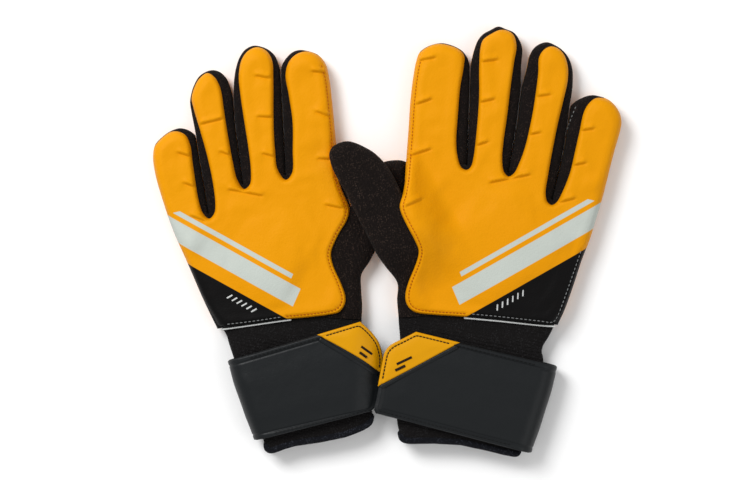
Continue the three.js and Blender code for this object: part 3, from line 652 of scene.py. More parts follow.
def tube(name, path, radii, material, sides=8, closed=False):
    """A round cord along a 3-D path. radii is one number or (half width, half height)."""
    path = np.asarray(path, float)
    count = len(path)
    if closed:
        ahead, behind = np.roll(path, -1, axis=0), np.roll(path, 1, axis=0)
    else:
        ahead = np.vstack([path[1:], path[-1:]])
        behind = np.vstack([path[:1], path[:-1]])
    run = ahead - behind
    run /= np.maximum(np.linalg.norm(run, axis=1), 1e-9)[:, None]
    lift = np.array([0.0, 0.0, 1.0])
    aside = np.cross(run, lift)
    short = np.linalg.norm(aside, axis=1) < 0.2
    aside[short] = np.cross(run[short], np.array([1.0, 0.0, 0.0]))
    aside /= np.linalg.norm(aside, axis=1)[:, None]
    upward = np.cross(aside, run)
    wide, high = radii if isinstance(radii, tuple) else (radii, radii)
    points, faces = [], []
    for k in range(count):
        for i in range(sides):
            turn = 2 * math.pi * i / sides
            points.append(path[k] + aside[k] * wide * math.cos(turn) + upward[k] * high * math.sin(turn))
    for k in range(count if closed else count - 1):
        n = (k + 1) % count
        for i in range(sides):
            j = (i + 1) % sides
            faces.append((k * sides + i, k * sides + j, n * sides + j, n * sides + i))
    if not closed:
        faces.append(tuple(range(sides)))
        faces.append(tuple(reversed(range((count - 1) * sides, count * sides))))
    return make_object(name, points, faces, material)


def stitches(name, path, material, pitch=2.2, length=1.5, radius=0.28, rise=0.1):
    """A row of sewn stitches: short rounded threads lying along a 3-D path."""
    path = evenly(np.asarray(path, float), pitch)
    points, faces = [], []
    sides, rings = 6, ((-1.0, 0.0), (-0.8, 0.75), (0.0, 1.0), (0.8, 0.75), (1.0, 0.0))
    for a, b in zip(path, path[1:]):
        run = (b - a) / max(np.linalg.norm(b - a), 1e-9)
        middle = (a + b) / 2 + np.array([0, 0, rise])
        aside = np.cross(run, (0, 0, 1.0))
        aside /= max(np.linalg.norm(aside), 1e-9)
        upward = np.cross(aside, run)
        first = len(points)
        for along, width in rings:
            centre = middle + run * along * length / 2
            if width == 0:
                points.append(centre)
                continue
            for i in range(sides):
                turn = 2 * math.pi * i / sides
                points.append(centre + (aside * math.cos(turn) + upward * math.sin(turn)) * radius * width)
        for ring in range(2):
            low = first + 1 + ring * sides
            for i in range(sides):
                j = (i + 1) % sides
                faces.append((low + i, low + j, low + sides + j, low + sides + i))
        last = first + 1 + 3 * sides
        for i in range(sides):
            j = (i + 1) % sides
            faces.append((first, first + 1 + j, first + 1 + i))
            faces.append((last, last - sides + i, last - sides + j))
    return make_object(name, points, faces, material)


def swollen_sheet(outline, sewn):
    """A foam panel's points in plan and how far each rises, from a cloth simulation of its top sheet.

    The sheet is held at its edge and along its seams and flex bars, and the padding pushes it up.
    """
    xy, tris = plan(outline, SIM_GRID, (0.2, 1.4))
    held = distance(xy, outline, True)
    for line in sewn:
        held = np.minimum(held, distance(xy, line))
    piece = make_object("simulated_sheet", np.column_stack([xy, np.zeros(len(xy))]), tris, [])
    group = piece.vertex_groups.new(name="held")
    group.add([int(i) for i in np.flatnonzero(held < 0.9)], 1.0, "REPLACE")
    cloth = piece.modifiers.new("cloth", "CLOTH")
    cloth.settings.vertex_group_mass = "held"
    cloth.settings.use_pressure = True
    cloth.settings.uniform_pressure_force = PRESSURE
    cloth.settings.shrink_min = -0.02
    cloth.settings.effector_weights.gravity = 0
    cloth.point_cache.frame_start = 1
    cloth.point_cache.frame_end = SIM_FRAMES
    for number in range(1, SIM_FRAMES + 1):
        bpy.context.scene.frame_set(number)
    evaluated = piece.evaluated_get(bpy.context.evaluated_depsgraph_get())
    moved = np.empty(len(piece.data.vertices) * 3)
    evaluated.data.vertices.foreach_get("co", moved)
    rise = moved.reshape(-1, 3)[:, 2] / MM
    mesh = piece.data
    bpy.data.objects.remove(piece)
    bpy.data.meshes.remove(mesh)
    bpy.context.scene.frame_set(1)
    return xy, np.clip(rise, -0.5, SWELL)


def spread(points, xy, values):
    """Smooth values at these points from scattered ones."""
    found = np.empty(len(points))
    for i in range(0, len(points), 500):
        away = (points[i : i + 500, :1] - xy[:, 0]) ** 2 + (points[i : i + 500, 1:] - xy[:, 1]) ** 2
        weight = np.exp(-away / (2 * SPREAD_REACH**2)) + 1e-12
        found[i : i + 500] = weight @ values / weight.sum(1)
    return found


# ---- Materials -----------------------------------------------------------------------------------


def srgb(r, g, b):
    def linear(c):
        c /= 255
        return c / 12.92 if c <= 0.04045 else ((c + 0.055) / 1.055) ** 2.4

    return (linear(r), linear(g), linear(b), 1.0)


class Look:
    """A material under construction."""

    def __init__(self, name, color, roughness, specular=0.5):
        self.material = bpy.data.materials.new(name)
        self.material.use_nodes = True
        self.tree = self.material.node_tree
        self.shader = self.tree.nodes["Principled BSDF"]
        self.shader.inputs["Base Color"].default_value = color
        self.shader.inputs["Roughness"].default_value = roughness
        self.shader.inputs["Specular IOR Level"].default_value = specular
        self.color = color
        self.coordinates = self.tree.nodes.new("ShaderNodeTexCoord").outputs["Object"]
        self.height = None

    def node(self, kind, **values):
        made = self.tree.nodes.new(kind)
        for key, value in values.items():
            if key in made.inputs:
                made.inputs[key].default_value = value
            else:
                setattr(made, key, value)
        return made

    def link(self, output, target):
        self.tree.links.new(output, target)

    def math(self, operation, a, b=None):
        made = self.node("ShaderNodeMath", operation=operation)
        for value, socket in zip((a, b), made.inputs):
            if value is None:
                continue
            if isinstance(value, (int, float)):
                socket.default_value = value
            else:
                self.link(value, socket)
        return made.outputs[0]

    def noise(self, size, detail=2.0):
        """Noise whose grain is about this many millimetres."""
        made = self.node("ShaderNodeTexNoise", Scale=1 / (size * MM), Detail=detail)
        self.link(self.coordinates, made.inputs["Vector"])
        return made.outputs["Fac"]

    def cells(self, size):
        made = self.node("ShaderNodeTexVoronoi", Scale=1 / (size * MM))
        self.link(self.coordinates, made.inputs["Vector"])
        return made.outputs["Distance"]

    def along(self, direction):
        """Metres along a direction, which has two or three numbers."""
        made = self.node("ShaderNodeVectorMath", operation="DOT_PRODUCT")
        self.link(self.coordinates, made.inputs[0])
        made.inputs[1].default_value = (*direction, 0)[:3]
        return made.outputs["Value"]

    def waves(self, size, direction):
        """Ridges this many millimetres apart along a direction."""
        return self.math("SINE", self.math("MULTIPLY", self.along(direction), 2 * math.pi / (size * MM)))

    def add_height(self, value, amount):
        """Adds to the bump, in millimetres."""
        scaled = self.math("MULTIPLY", value, amount)
        self.height = scaled if self.height is None else self.math("ADD", self.height, scaled)

    def mix_color(self, mask, color):
        """Lays another colour over the base colour where the mask is 1."""
        made = self.node("ShaderNodeMix", data_type="RGBA")
        self.link(mask, made.inputs[0])
        target = self.shader.inputs["Base Color"]
        if target.links:
            self.link(target.links[0].from_socket, made.inputs[6])
        else:
            made.inputs[6].default_value = self.color
        made.inputs[7].default_value = color
        self.link(made.outputs[2], target)

    def ramp(self, value, low, high):
        made = self.node("ShaderNodeMapRange", clamp=True)
        self.link(value, made.inputs["Value"])
        made.inputs["From Min"].default_value = low
        made.inputs["From Max"].default_value = high
        return made.outputs["Result"]

    def done(self, strength=1.0):
        if self.height is not None:
            bump = self.node("ShaderNodeBump", Strength=strength, Distance=MM)
            self.link(self.height, bump.inputs["Height"])
            self.link(bump.outputs["Normal"], self.shader.inputs["Normal"])
        return self.material

    def beyond(self, line):
        """Metres in front of a line in plan, as a socket: positive to the left of its direction."""
        start, end = (np.array(p, float) for p in line)
        normal = left_of(unit(end - start))
        return self.math("SUBTRACT", self.along(normal), float(normal @ start) * MM)


YELLOW = srgb(214, 141, 0)
BLACK_FOAM = srgb(11, 10, 10)
PRINT_GREY = srgb(180, 186, 179)
FABRIC = srgb(15, 10, 9)
MESH = srgb(16, 10, 8)
# Lighter colours painted on the knits' loops as highlights.
HIGHLIGHT_FLECK = srgb(92, 74, 64)
GREY_HIGHLIGHT_FLECK = srgb(66, 66, 68)
STRAP = srgb(19, 22, 24)
TAB = srgb(206, 144, 0)
# The grey bars: how far from the corner's line each starts and ends, and how much shorter it is.
PRINT_BARS = ((7.5, 18.0, 0.0), (20.6, 23.2, 7.0))


def foam_look(name, table=None, side=None):
    """Smooth moulded foam; with a table, it carries that glove's printed corner and bars."""
    look = Look(name, YELLOW, 0.55, 0.07)
    look.mix_color(look.math("MULTIPLY", look.ramp(look.noise(38, 3), 0.45, 0.75), 0.25), srgb(212, 135, 0))
    look.mix_color(look.math("MULTIPLY", look.ramp(look.noise(1.2, 2), 0.5, 0.8), 0.2), srgb(208, 132, 0))
    look.add_height(look.noise(0.9, 3), 0.16)
    look.add_height(look.noise(7, 2), 0.3)
    if table:
        flip = 1 if side == "left" else -1
        away = look.math("MULTIPLY", look.beyond(table["print_line"]), flip)
        end = look.math("MULTIPLY", look.beyond(table["print_end"]), flip)
        edge = 0.12 * MM
        for low, high, shorter in PRINT_BARS:
            above = look.ramp(away, low * MM - edge, low * MM + edge)
            below = look.ramp(away, high * MM + edge, high * MM - edge)
            ended = look.ramp(end, shorter * MM - edge, shorter * MM + edge)
            bar = look.math("MULTIPLY", look.math("MULTIPLY", above, below), ended)
            look.mix_color(bar, PRINT_GREY)
        look.mix_color(look.ramp(away, edge, -edge), BLACK_FOAM)
    return look.done()


def fabric_look(name, color, highlight_strength, highlight_color=HIGHLIGHT_FLECK, ribs=None):
    """Matt knitted fabric: fine loops, with lighter flecks painted on them as highlights where the light
    would catch them.
    """
    look = Look(name, color, 0.9, 0.12)
    look.shader.inputs["Sheen Weight"].default_value = 0.02
    look.shader.inputs["Sheen Roughness"].default_value = 0.5
    cells = look.cells(0.95)
    # Painted highlights: lighter colour on the loops where the light would catch them.
    painted_highlights = look.math("MULTIPLY", look.ramp(cells, 0.45, 0.1), look.ramp(look.noise(3.2, 3), 0.36, 0.64))
    look.mix_color(look.math("MULTIPLY", painted_highlights, highlight_strength), highlight_color)
    look.add_height(cells, -0.45)
    look.add_height(look.noise(3.5, 3), 0.4)
    if ribs:
        look.add_height(look.waves(1.9, ribs), 0.12)
    return look.done()


def strap_look():
    look = Look("strap_elastic", STRAP, 0.42, 0.2)
    look.mix_color(look.math("MULTIPLY", look.noise(20, 2), 0.3), srgb(12, 14, 15))
    look.add_height(look.noise(0.7, 2), 0.08)
    look.add_height(look.noise(9, 2), 0.35)
    return look.done()


def tab_look():
    look = Look("pull_tab", TAB, 0.42, 0.12)
    look.mix_color(look.math("MULTIPLY", look.noise(16, 2), 0.3), srgb(196, 132, 2))
    look.add_height(look.noise(1.0, 2), 0.08)
    return look.done()


def thread_look(name, color):
    look = Look(name, color, 0.6, 0.2)
    look.add_height(look.waves(0.35, (0.8, 0.6, 0.2)), 0.06)
    return look.done()


def hook_look():
    look = Look("hook_and_loop", srgb(14, 15, 16), 0.9, 0.1)
    look.mix_color(look.ramp(look.cells(0.9), 0.3, 0.05), srgb(40, 42, 44))
    look.add_height(look.cells(0.8), -0.5)
    look.add_height(look.noise(0.5, 3), 0.5)
    return look.done()


LOOKS = {
    "foam": foam_look("foam"),
    # Each knit's lighter flecks are painted highlights.
    "gusset": fabric_look("gusset_knit", FABRIC, 0.28),
    "mesh": fabric_look("thumb_mesh", MESH, 0.4, ribs=(0.95, 0.3, 0.0)),
    "sleeve": fabric_look("sleeve_knit", srgb(14, 12, 12), 0.3, GREY_HIGHLIGHT_FLECK, ribs=(0.2, 1.0, 0.0)),
    "binding": fabric_look("mouth_terry", srgb(12, 13, 18), 0.6, srgb(70, 74, 84)),
    "strap": strap_look(),
    "tab": tab_look(),
    "hook": hook_look(),
    "white": thread_look("white_thread", srgb(206, 208, 206)),
    "grey": thread_look("grey_thread", srgb(128, 130, 130)),
    "orange": thread_look("orange_thread", srgb(178, 84, 0)),
    "brown": thread_look("brown_thread", srgb(34, 18, 6)),
    "black": thread_look("black_thread", srgb(6, 7, 8)),
}


# ---- One glove -----------------------------------------------------------------------------------


class Glove:
    """One glove's outlines and fingers, and the heights that its pieces share."""

    def __init__(self, side):
        self.side = side
        self.table = GLOVES[side]
        self.hand = f"{side}_hand"
        self.fingers = {name: Finger(side, name) for name in FINGERS}
        self.bends = {**self.fingers, "thumb": Finger(side, "thumb")}
        self.body_line = closed_line(self.table["body"])
        self.mouth_edge = np.array(self.table["open_edge"], float)
        # The body's outline without its open edge, starting beside the opening.
        sewn = self.body_line[distance(self.body_line, self.mouth_edge) > 0.6]
        start = int(np.argmax(np.linalg.norm(sewn - np.roll(sewn, 1, axis=0), axis=1)))
        self.sewn = np.roll(sewn, -start, axis=0)
        self.foam_line = closed_line(self.table["foam"])
        self.seams = [open_line(self.table[key]) for key in ("foam_seam", "rim_seam", "white_seam")]

    def lift(self, xy):
        """How far the right glove is lifted where it crosses the left thumb."""
        if self.side == "left":
            return np.zeros(len(xy))
        along, across = self.bends["thumb"].place(xy)
        return LIFT * smooth((36 - across) / 22) * smooth((along + 56) / 38)

    def pressed(self, xy):
        """How flat the left thumb's tip is where the right glove lies on it; 1 is not flattened."""
        if self.side == "right":
            return np.ones(len(xy))
        return 1 - PRESSED * smooth((xy[:, 0] - PRESSED_FROM) / 5) * smooth((xy[:, 1] - 14) / 8)

    def inflate(self):
        """Runs the simulation that the back panel's crown is read from."""
        welts = [np.array([start, end], float) for start, end in self.table["welts"]]
        self.swelling = swollen_sheet(self.foam_line, self.seams + welts)

    def crown(self, points, depth):
        """How far the back foam stands above its sewn-down level, this deep inside its edge."""
        swell = spread(points, *self.swelling) * smooth(depth / 2.5)
        dents = 0.3 * wobble(points, 34, 11) * smooth(depth / 8)
        return FOAM * profile(depth / FOAM_EDGE) + swell + dents

    def foam_height(self, points):
        """The back panel's surface under a line of points."""
        depth = distance(points, self.foam_line, True)
        height = body_height(distance(points, self.sewn)) + self.lift(points) - FOAM_SUNK
        return height + self.crown(points, depth)


def body_height(from_edge):
    """The body's top, this far inside its sewn edge, where nothing lifts it."""
    return SEAM_Z + (BODY_TOP - SEAM_Z) * profile(from_edge / BODY_ROUND)


def settle(piece, body, node):
    """Puts a piece on a body, in place of its CAD node."""
    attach(piece, body)
    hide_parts(node)


def bend(piece, finger):
    """Bakes a finger's piece's placement into its points; the points at its start and BLEND past it are
    worked out but not used.
    """
    start = finger.point(finger.cut) * MM
    end = finger.point(finger.cut + BLEND) * MM
    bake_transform(piece)


def welt_points(welts):
    """Extra mesh points along each flex bar, so its crease is sharp."""
    made = []
    for start, end in welts:
        a, b = np.array(start), np.array(end)
        run = unit(b - a)
        for t in np.arange(-1.0, np.linalg.norm(b - a) + 1.0, 0.7):
            for off in (-1.4, -0.8, -0.4, 0.0, 0.4, 0.8, 1.4, 2.2, 3.2):
                made.append(a + run * t + left_of(run) * off)
    return np.array(made)


def welt_height(xy, welts):
    """Flex bars: a crease with a low swelling on its fingertip side."""
    height = np.zeros(len(xy))
    for start, end in welts:
        a, b = np.array(start), np.array(end)
        length = np.linalg.norm(b - a)
        run = unit(b - a)
        t = (xy - a) @ run
        n = (xy - a) @ left_of(run)
        fade = smooth((t + 1.5) / 3) * smooth((length + 1.5 - t) / 3)
        crease = -0.8 * np.exp(-((n / 0.7) ** 2))
        swelling = 0.9 * np.exp(-(((n - 1.9) / 1.1) ** 2))
        below = -0.35 * np.exp(-(((n + 1.8) / 1.6) ** 2))
        height += fade * (crease + swelling + below)
    return height


def body_plan(glove):
    """The body's triangles in plan, the part that each is in, and which are rolled-up palm foam."""
    cut_lines = [finger.cut_line(18, 30) for finger in glove.bends.values()]
    rim_lines = [open_line(glove.table[key]) for key in ("outer_side", "rim_side")]
    ends = []
    for line in rim_lines:
        for end, before in ((line[0], line[3]), (line[-1], line[-4])):
            out = unit(end - before)
            ends.append((end, out))
            cut_lines.append([end + t * left_of(out) for t in np.linspace(-4.5, 4.5, 11)])
    rings = (0.12, 0.45, 1.0, 1.8, 2.9, 4.2, 5.6)
    xy, tris = plan(glove.body_line, 1.5, rings, lines=cut_lines)
    middle = xy[tris].mean(1)
    rims = np.min([distance(middle, line) for line in rim_lines], axis=0) < RIM
    for end, out in ends:
        rims &= ((middle - end) @ out < 0) | (np.linalg.norm(middle - end, axis=1) > 6)
    return xy, tris, regions(xy, tris, glove.bends.values()), rims


def body_heights(glove, xy):
    """The heights of the body's top and bottom, then of the palm foam's."""
    edge = edge_distance(xy, glove.sewn)
    from_mouth = distance(xy, glove.mouth_edge)
    raised = glove.lift(xy)
    wrinkle = 0.35 * wobble(xy, 26, 3) * smooth(edge / 6) * smooth(from_mouth / 6)
    tucked = MOUTH_TUCK * (1 - smooth(from_mouth / 5)) * smooth(edge / 3)
    top = body_height(edge) + wrinkle - tucked + raised
    bottom = SEAM_Z - (SEAM_Z - BODY_BOTTOM) * profile(edge / 5) + raised
    palm_bottom = PALM_EDGE * (1 - profile(edge / 4.4)) + raised
    palm_top = np.minimum(PALM_EDGE + 0.9 * profile(edge / 2.2), bottom - raised + 0.15) + raised
    palm_top = np.where(edge == 0, palm_bottom, np.maximum(palm_top, palm_bottom + 0.05))
    flat = glove.pressed(xy)
    return top * flat, bottom * flat, palm_top * flat, palm_bottom * flat


def make_body(glove, sheet, rims, top, bottom):
    """The body: a hollow skin of gusset fabric, with mesh on the hand and the thumb."""
    xy, tris, part = sheet
    side, valleys = glove.side, glove.table["valleys"]
    middle = xy[tris].mean(1)
    web = np.zeros(len(tris), int)
    for k, slot_bottom in enumerate(valleys.values()):
        near = np.linalg.norm(middle - np.array(slot_bottom), axis=1) < WEB_REACH
        web[(part == 0) & near] = k + 1

    def skin(name, mine, fabric):
        looks = [LOOKS[fabric], LOOKS["foam"]]
        return shell(f"{side}_{name}", xy, tris[mine], top, bottom, looks, rims[mine])

    for k, name in enumerate(valleys):
        piece = skin(f"{name}_web_knit", web == k + 1, "gusset")
        settle(piece, glove.hand, f"{side}_{name}_web")
    piece = skin("hand_mesh", (part == 0) & (web == 0), "mesh")
    settle(piece, glove.hand, f"{side}_thumb_side_mesh")
    for k, (name, finger) in enumerate(glove.bends.items()):
        is_thumb = name == "thumb"
        piece = skin(f"{name}_skin", part == k + 1, "mesh" if is_thumb else "gusset")
        bend(piece, finger)
        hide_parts(f"{side}_thumb_shell" if is_thumb else f"{side}_{name}_gusset")


def make_foam(glove, kind, hand_node, fingers, sheet, top, bottom, hand_look):
    """Palm or back foam: a pad on the hand and one on each finger, cut from one sheet."""
    xy, tris, part = sheet
    for k, (name, finger) in enumerate([("hand", None), *fingers.items()]):
        look = LOOKS["foam"] if finger else hand_look
        piece = pad(f"{glove.side}_{name}_{kind}_foam", xy, tris, top, bottom, look, part == k)
        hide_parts(f"{glove.side}_{name}_{kind}" if finger else f"{glove.side}_{hand_node}")
        if finger:
            bend(piece, finger)
        else:
            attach(piece, glove.hand)


def make_back(glove):
    """The foam back panel over the hand and four fingers."""
    welts = glove.table["welts"]
    cut_lines = [finger.cut_line(17, 36) for finger in glove.fingers.values()]
    rings = (0.12, 0.4, 0.8, 1.3, 1.9, 2.6, 3.4)
    xy, tris = plan(glove.foam_line, 1.3, rings, lines=cut_lines, extra=welt_points(welts))
    part = regions(xy, tris, glove.fingers.values())
    edge = edge_distance(xy, glove.foam_line, True)
    under = distance(xy, glove.sewn)
    # Foam past the body's side comes down to its seam; past the open edge it stays level.
    under[~inside(xy, glove.body_line) & (under < 3)] = 0
    base = body_height(under) + glove.lift(xy)
    glove.inflate()
    groove = sum(0.8 * np.exp(-((distance(xy, line) / 0.6) ** 2)) for line in glove.seams)
    raised = welt_height(xy, welts) * smooth(edge / 1.2)
    top = base - FOAM_SUNK + glove.crown(xy, edge) + raised - groove
    bottom = np.where(edge == 0, top, base - 0.5)
    printed = foam_look(f"{glove.side}_printed_foam", glove.table, glove.side)
    make_foam(glove, "back", "back_panel", glove.fingers, (xy, tris, part), top, bottom, printed)


def make_piping(glove):
    line = evenly(open_line(glove.table["piping"]), 1.2)
    path = np.column_stack([line, np.full(len(line), PIPING_TOP - 0.6)])
    piece = tube(f"{glove.side}_white_piping", path, 0.48, LOOKS["white"])
    settle(piece, glove.hand, f"{glove.side}_back_piping")


def make_seams(glove):
    """Stitching along the back panel's seams; the rim's runs on along the index finger."""
    side, finger = glove.side, glove.fingers["index"]
    for key, look, pitch, length, radius in SEAM_THREADS:
        line = evenly(open_line(glove.table[key]), 1.0)
        path = np.column_stack([line, glove.foam_height(line) - 0.45])
        if key == "rim_seam":
            along = finger.place(line)[0]
            outer = path[along >= finger.cut]
            name = f"{side}_index_rim_stitches"
            bend(stitches(name, outer, LOOKS[look], pitch, length, radius), finger)
            path = path[along < finger.cut + 1]
        piece = stitches(f"{side}_{key}_stitches", path, LOOKS[look], pitch, length, radius)
        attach(piece, glove.hand)
    if "gusset_seam" in glove.table:
        line = evenly(open_line(glove.table["gusset_seam"]), 1.0)
        path = np.column_stack([line, body_height(distance(line, glove.sewn))])
        piece = stitches(f"{side}_gusset_stitches", path, LOOKS["grey"], 2.6, 1.5, 0.24)
        bend(piece, glove.fingers["pinky"])


def make_print_bars(glove):
    """Small slanted bars printed in white on the dark corner."""
    start, end = (np.array(p) for p in glove.table["white_marks"])
    run = unit(end - start)
    slant = left_of(run) * 1.5 + run * 0.9
    for k in range(PRINT_DASHES):
        centre = start + (end - start) * (k + 0.5) / PRINT_DASHES
        line = evenly(np.array([centre - slant, centre + slant]), 0.5)
        path = np.column_stack([line, glove.foam_height(line) - 0.12])
        piece = tube(f"{glove.side}_print_bar_{k + 1}", path, (0.55, 0.2), LOOKS["white"])
        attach(piece, glove.hand)


# ---- The wrist -----------------------------------------------------------------------------------


def grid_faces(rows, columns, wrap=False):
    faces = []
    for i in range(rows - 1):
        for j in range(columns if wrap else columns - 1):
            n = (j + 1) % columns
            faces.append((i * columns + j, (i + 1) * columns + j, (i + 1) * columns + n, i * columns + n))
    return faces


def both_skins(faces, size):
    """The faces of an outer grid and, turned round, of the inner grid whose points follow it."""
    return faces + [tuple(size + v for v in reversed(face)) for face in faces]


def ribbon(name, centre, normal, above, below, material):
    """A closed band round a grid of points; above and below are its thickness from the grid."""
    rows, columns = centre.shape[:2]
    outer = centre + normal * above[..., None]
    inner = centre - normal * below[..., None]
    points = np.vstack([outer.reshape(-1, 3), inner.reshape(-1, 3)])
    size = rows * columns
    faces = both_skins(grid_faces(rows, columns), size)
    border = [(0, j) for j in range(columns)] + [(i, columns - 1) for i in range(1, rows)]
    border += [(rows - 1, j) for j in range(columns - 2, -1, -1)]
    border += [(i, 0) for i in range(rows - 2, 0, -1)]
    ids = [i * columns + j for i, j in border]
    for a, b in zip(ids, ids[1:] + ids[:1]):
        faces.append((a, b, size + b, size + a))
    piece = make_object(name, points, faces, material)
    fix_normals(piece)
    return piece


def fix_normals(piece):
    work = bmesh.new()
    work.from_mesh(piece.data)
    bmesh.ops.recalc_face_normals(work, faces=work.faces)
    work.to_mesh(piece.data)
    work.free()


def grid_normals(centre):
    n = np.cross(np.gradient(centre, axis=1), np.gradient(centre, axis=0))
    return n / np.maximum(np.linalg.norm(n, axis=2), 1e-9)[..., None]


def sleeve_top(glove, xy):
    """The sleeve's height at points in plan, from how far across it they are."""
    from_thumb = distance(xy, open_line(glove.table["sleeve_thumb"]))
    from_outer = distance(xy, open_line(glove.table["sleeve_outer"]))
    cosine = np.abs(1 - 2 * from_thumb / (from_thumb + from_outer)) ** (1 / SLEEVE_FLATNESS)
    return SLEEVE_Z + SLEEVE_TALL * np.sqrt(1 - cosine**2) ** SLEEVE_CROWN


def sleeve_grid(glove, rows, around):
    """The sleeve's outer surface: rows from inside the hand to the mouth, round at both sides."""
    at = np.linspace(0, 1, rows)
    thumb_side = side_points(glove.table["sleeve_thumb"], at)[:, None]
    outer_side = side_points(glove.table["sleeve_outer"], at)[:, None]
    turn = 2 * math.pi * np.arange(around) / around
    cosine, sine = np.cos(turn), np.sin(turn)
    wide = np.copysign(np.abs(cosine) ** SLEEVE_FLATNESS, cosine)
    high = np.copysign(np.abs(sine) ** SLEEVE_CROWN, sine)
    share = (1 - wide) / 2
    flat = thumb_side * (1 - share)[:, None] + outer_side * share[:, None]
    # The last rows are drawn to the mouth's own outline.
    mouth = open_line(glove.table["mouth"])
    run = run_length(mouth)
    ends = picked(mouth, run, share * run[-1])
    flat = flat + smooth((at - 0.62) / 0.38)[:, None, None] * (ends - flat[-1])
    folds = 0.45 * np.sin(flat[..., 1] / 2.3 + flat[..., 0] / 9) * smooth((at - 0.12) / 0.08)[:, None]
    tall = SLEEVE_TALL - 2.6 * (1 - smooth((at - 0.1) / 0.17))[:, None]
    z = SLEEVE_Z + (tall + folds * (1 - smooth((at - 0.3) / 0.1))[:, None]) * high
    return np.concatenate([flat, z[..., None]], axis=2)


def make_sleeve(glove):
    """The sleeve, and the soft roll that binds its mouth."""
    rows, around = 64, 96
    grid = sleeve_grid(glove, rows, around)
    down = np.gradient(grid, axis=0)
    round_it = np.roll(grid, -1, axis=1) - np.roll(grid, 1, axis=1)
    outward = np.cross(down, round_it)
    outward /= np.maximum(np.linalg.norm(outward, axis=2), 1e-9)[..., None]
    outward *= math.copysign(1, outward[rows // 2, around // 4, 2])
    inner = grid - outward * SLEEVE_THICK
    points = np.vstack([grid.reshape(-1, 3), inner.reshape(-1, 3)])
    size = rows * around
    faces = both_skins(grid_faces(rows, around, wrap=True), size)
    for i in (0, rows - 1):
        for j in range(around):
            a, b = i * around + j, i * around + (j + 1) % around
            ring = (a, b, size + b, size + a)
            faces.append(ring if i == 0 else ring[::-1])
    piece = make_object(f"{glove.side}_wrist_sleeve", points, faces, LOOKS["sleeve"])
    fix_normals(piece)
    settle(piece, glove.hand, f"{glove.side}_sleeve")
    path = (grid[-1] + inner[-1]) / 2
    roll = tube(f"{glove.side}_mouth_roll", path, (1.9, 1.7), LOOKS["binding"], sides=14, closed=True)
    fix_normals(roll)
    settle(roll, glove.hand, f"{glove.side}_mouth_binding")


class Strap:
    """Where a strap runs: its free end and its fold, for each column across its width."""

    def __init__(self, glove):
        self.side = glove.side
        # Columns are close together at both hems.
        hem = np.arange(0, 6.6, 0.4) / 48
        self.across = np.concatenate([hem, np.linspace(0.145, 0.855, 28), 1 - hem[::-1]])
        self.free = side_points(glove.table["strap_end"], self.across)
        self.turn = side_points(glove.table["strap_outer"], self.across)
        length = np.linalg.norm(self.turn - self.free, axis=1)
        self.way = (self.turn - self.free) / length[:, None]
        self.flat_rows = int(length.max() / STRAP_STEP)

    def bend(self, piece):
        """Bakes a piece of the flap's placement into its points."""
        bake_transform(piece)

    def grids(self):
        """Points of the flap, from its free end to the fold, and of the fixed part, from the fold on."""
        radius = (STRAP_TOP - STRAP_UNDER) / 2
        fold = self.turn - self.way * radius
        last = self.free + self.way * UNDER_STOP[self.side]

        def level(xy, z):
            return np.column_stack([xy, np.full(len(xy), z)])

        def arc(degrees):
            angle = math.radians(degrees)
            xy = self.turn - self.way * radius * (1 - math.cos(angle))
            return level(xy, STRAP_TOP - radius + radius * math.sin(angle))

        steps = [k / self.flat_rows for k in range(self.flat_rows + 1)]
        turns = [90 * k / FOLD_ROWS for k in range(1, FOLD_ROWS + 1)]
        over = [level(self.free + (fold - self.free) * share, STRAP_TOP) for share in steps]
        over += [arc(90 - degrees) for degrees in turns]
        under = [over[-1]] + [arc(-degrees) for degrees in turns]
        under += [level(fold + (last - fold) * share, STRAP_UNDER) for share in steps[1:]]
        return np.array(over), np.array(under)

    def band(self, name, grid, from_end, from_fold, facing):
        """A padded band with raised hems. facing is 1 where its flat part looks up, -1 down."""
        normals = grid_normals(grid)
        # Five rows from the flat end, the outside has to face up on the flap and down underneath.
        if normals[5 * facing, 5, 2] * facing < 0:
            normals = -normals
        widths = np.linalg.norm(grid[:, -1] - grid[:, 0], axis=1)[:, None]
        border = np.minimum(np.minimum(self.across, 1 - self.across) * widths, from_end)
        half = STRAP_THICK / 2 * profile(border / 0.9)
        hem = 0.55 * smooth(border / 0.6) * smooth((3.0 - border) / 0.6) * smooth(from_fold / 6)[:, None]
        crease = -0.4 * np.exp(-(((border - 3.2) / 0.45) ** 2))
        puff = 0.5 * smooth((border - 4) / 12)
        above = half + hem + crease + puff
        piece = ribbon(f"{self.side}_{name}", grid, normals, above, half, LOOKS["strap"])
        return piece, grid + normals * above[..., None]


def make_strap(glove):
    """The strap's two halves and the stitching along the flap's hems."""
    side, strap = glove.side, Strap(glove)
    over, under = strap.grids()
    curl(side, over)
    piece, surface = strap.band(
        "strap_flap_band", over, column_lengths(over), strap.flat_rows - np.arange(len(over)), 1)
    strap.bend(piece)
    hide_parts(f"{side}_strap_flap")
    for column, edge_name in ((5, "upper"), (len(strap.across) - 6, "lower")):
        path = surface[2 : strap.flat_rows - 2, column]
        name = f"{side}_strap_{edge_name}_stitches"
        strap.bend(stitches(name, path, LOOKS["black"], 2.3, 1.7, 0.26))
    lengths = column_lengths(under)
    piece, _ = strap.band(
        "strap_wrap_band", under, lengths[-1] - lengths, np.arange(len(under)) - FOLD_ROWS, -1)
    settle(piece, glove.hand, f"{side}_strap_wrap")
    make_tab(glove)
    make_patches(glove, strap)


def column_lengths(grid):
    """How far along its column each point of a grid is."""
    steps = np.linalg.norm(np.diff(grid, axis=0, prepend=grid[:1]), axis=2)
    return np.cumsum(steps, axis=0)


def curl(side, grid):
    """The left strap's end rolls down over the edge of the wrist, and the right one's lifts a little."""
    if side == "left":
        over = np.clip((grid[..., 0] + 21) / 18, 0, None)
        grid[..., 2] -= 7.5 * over**1.8
    else:
        over = np.clip((8 - grid[..., 0]) / 16, 0, None)
        grid[..., 2] += 0.8 * over**1.5


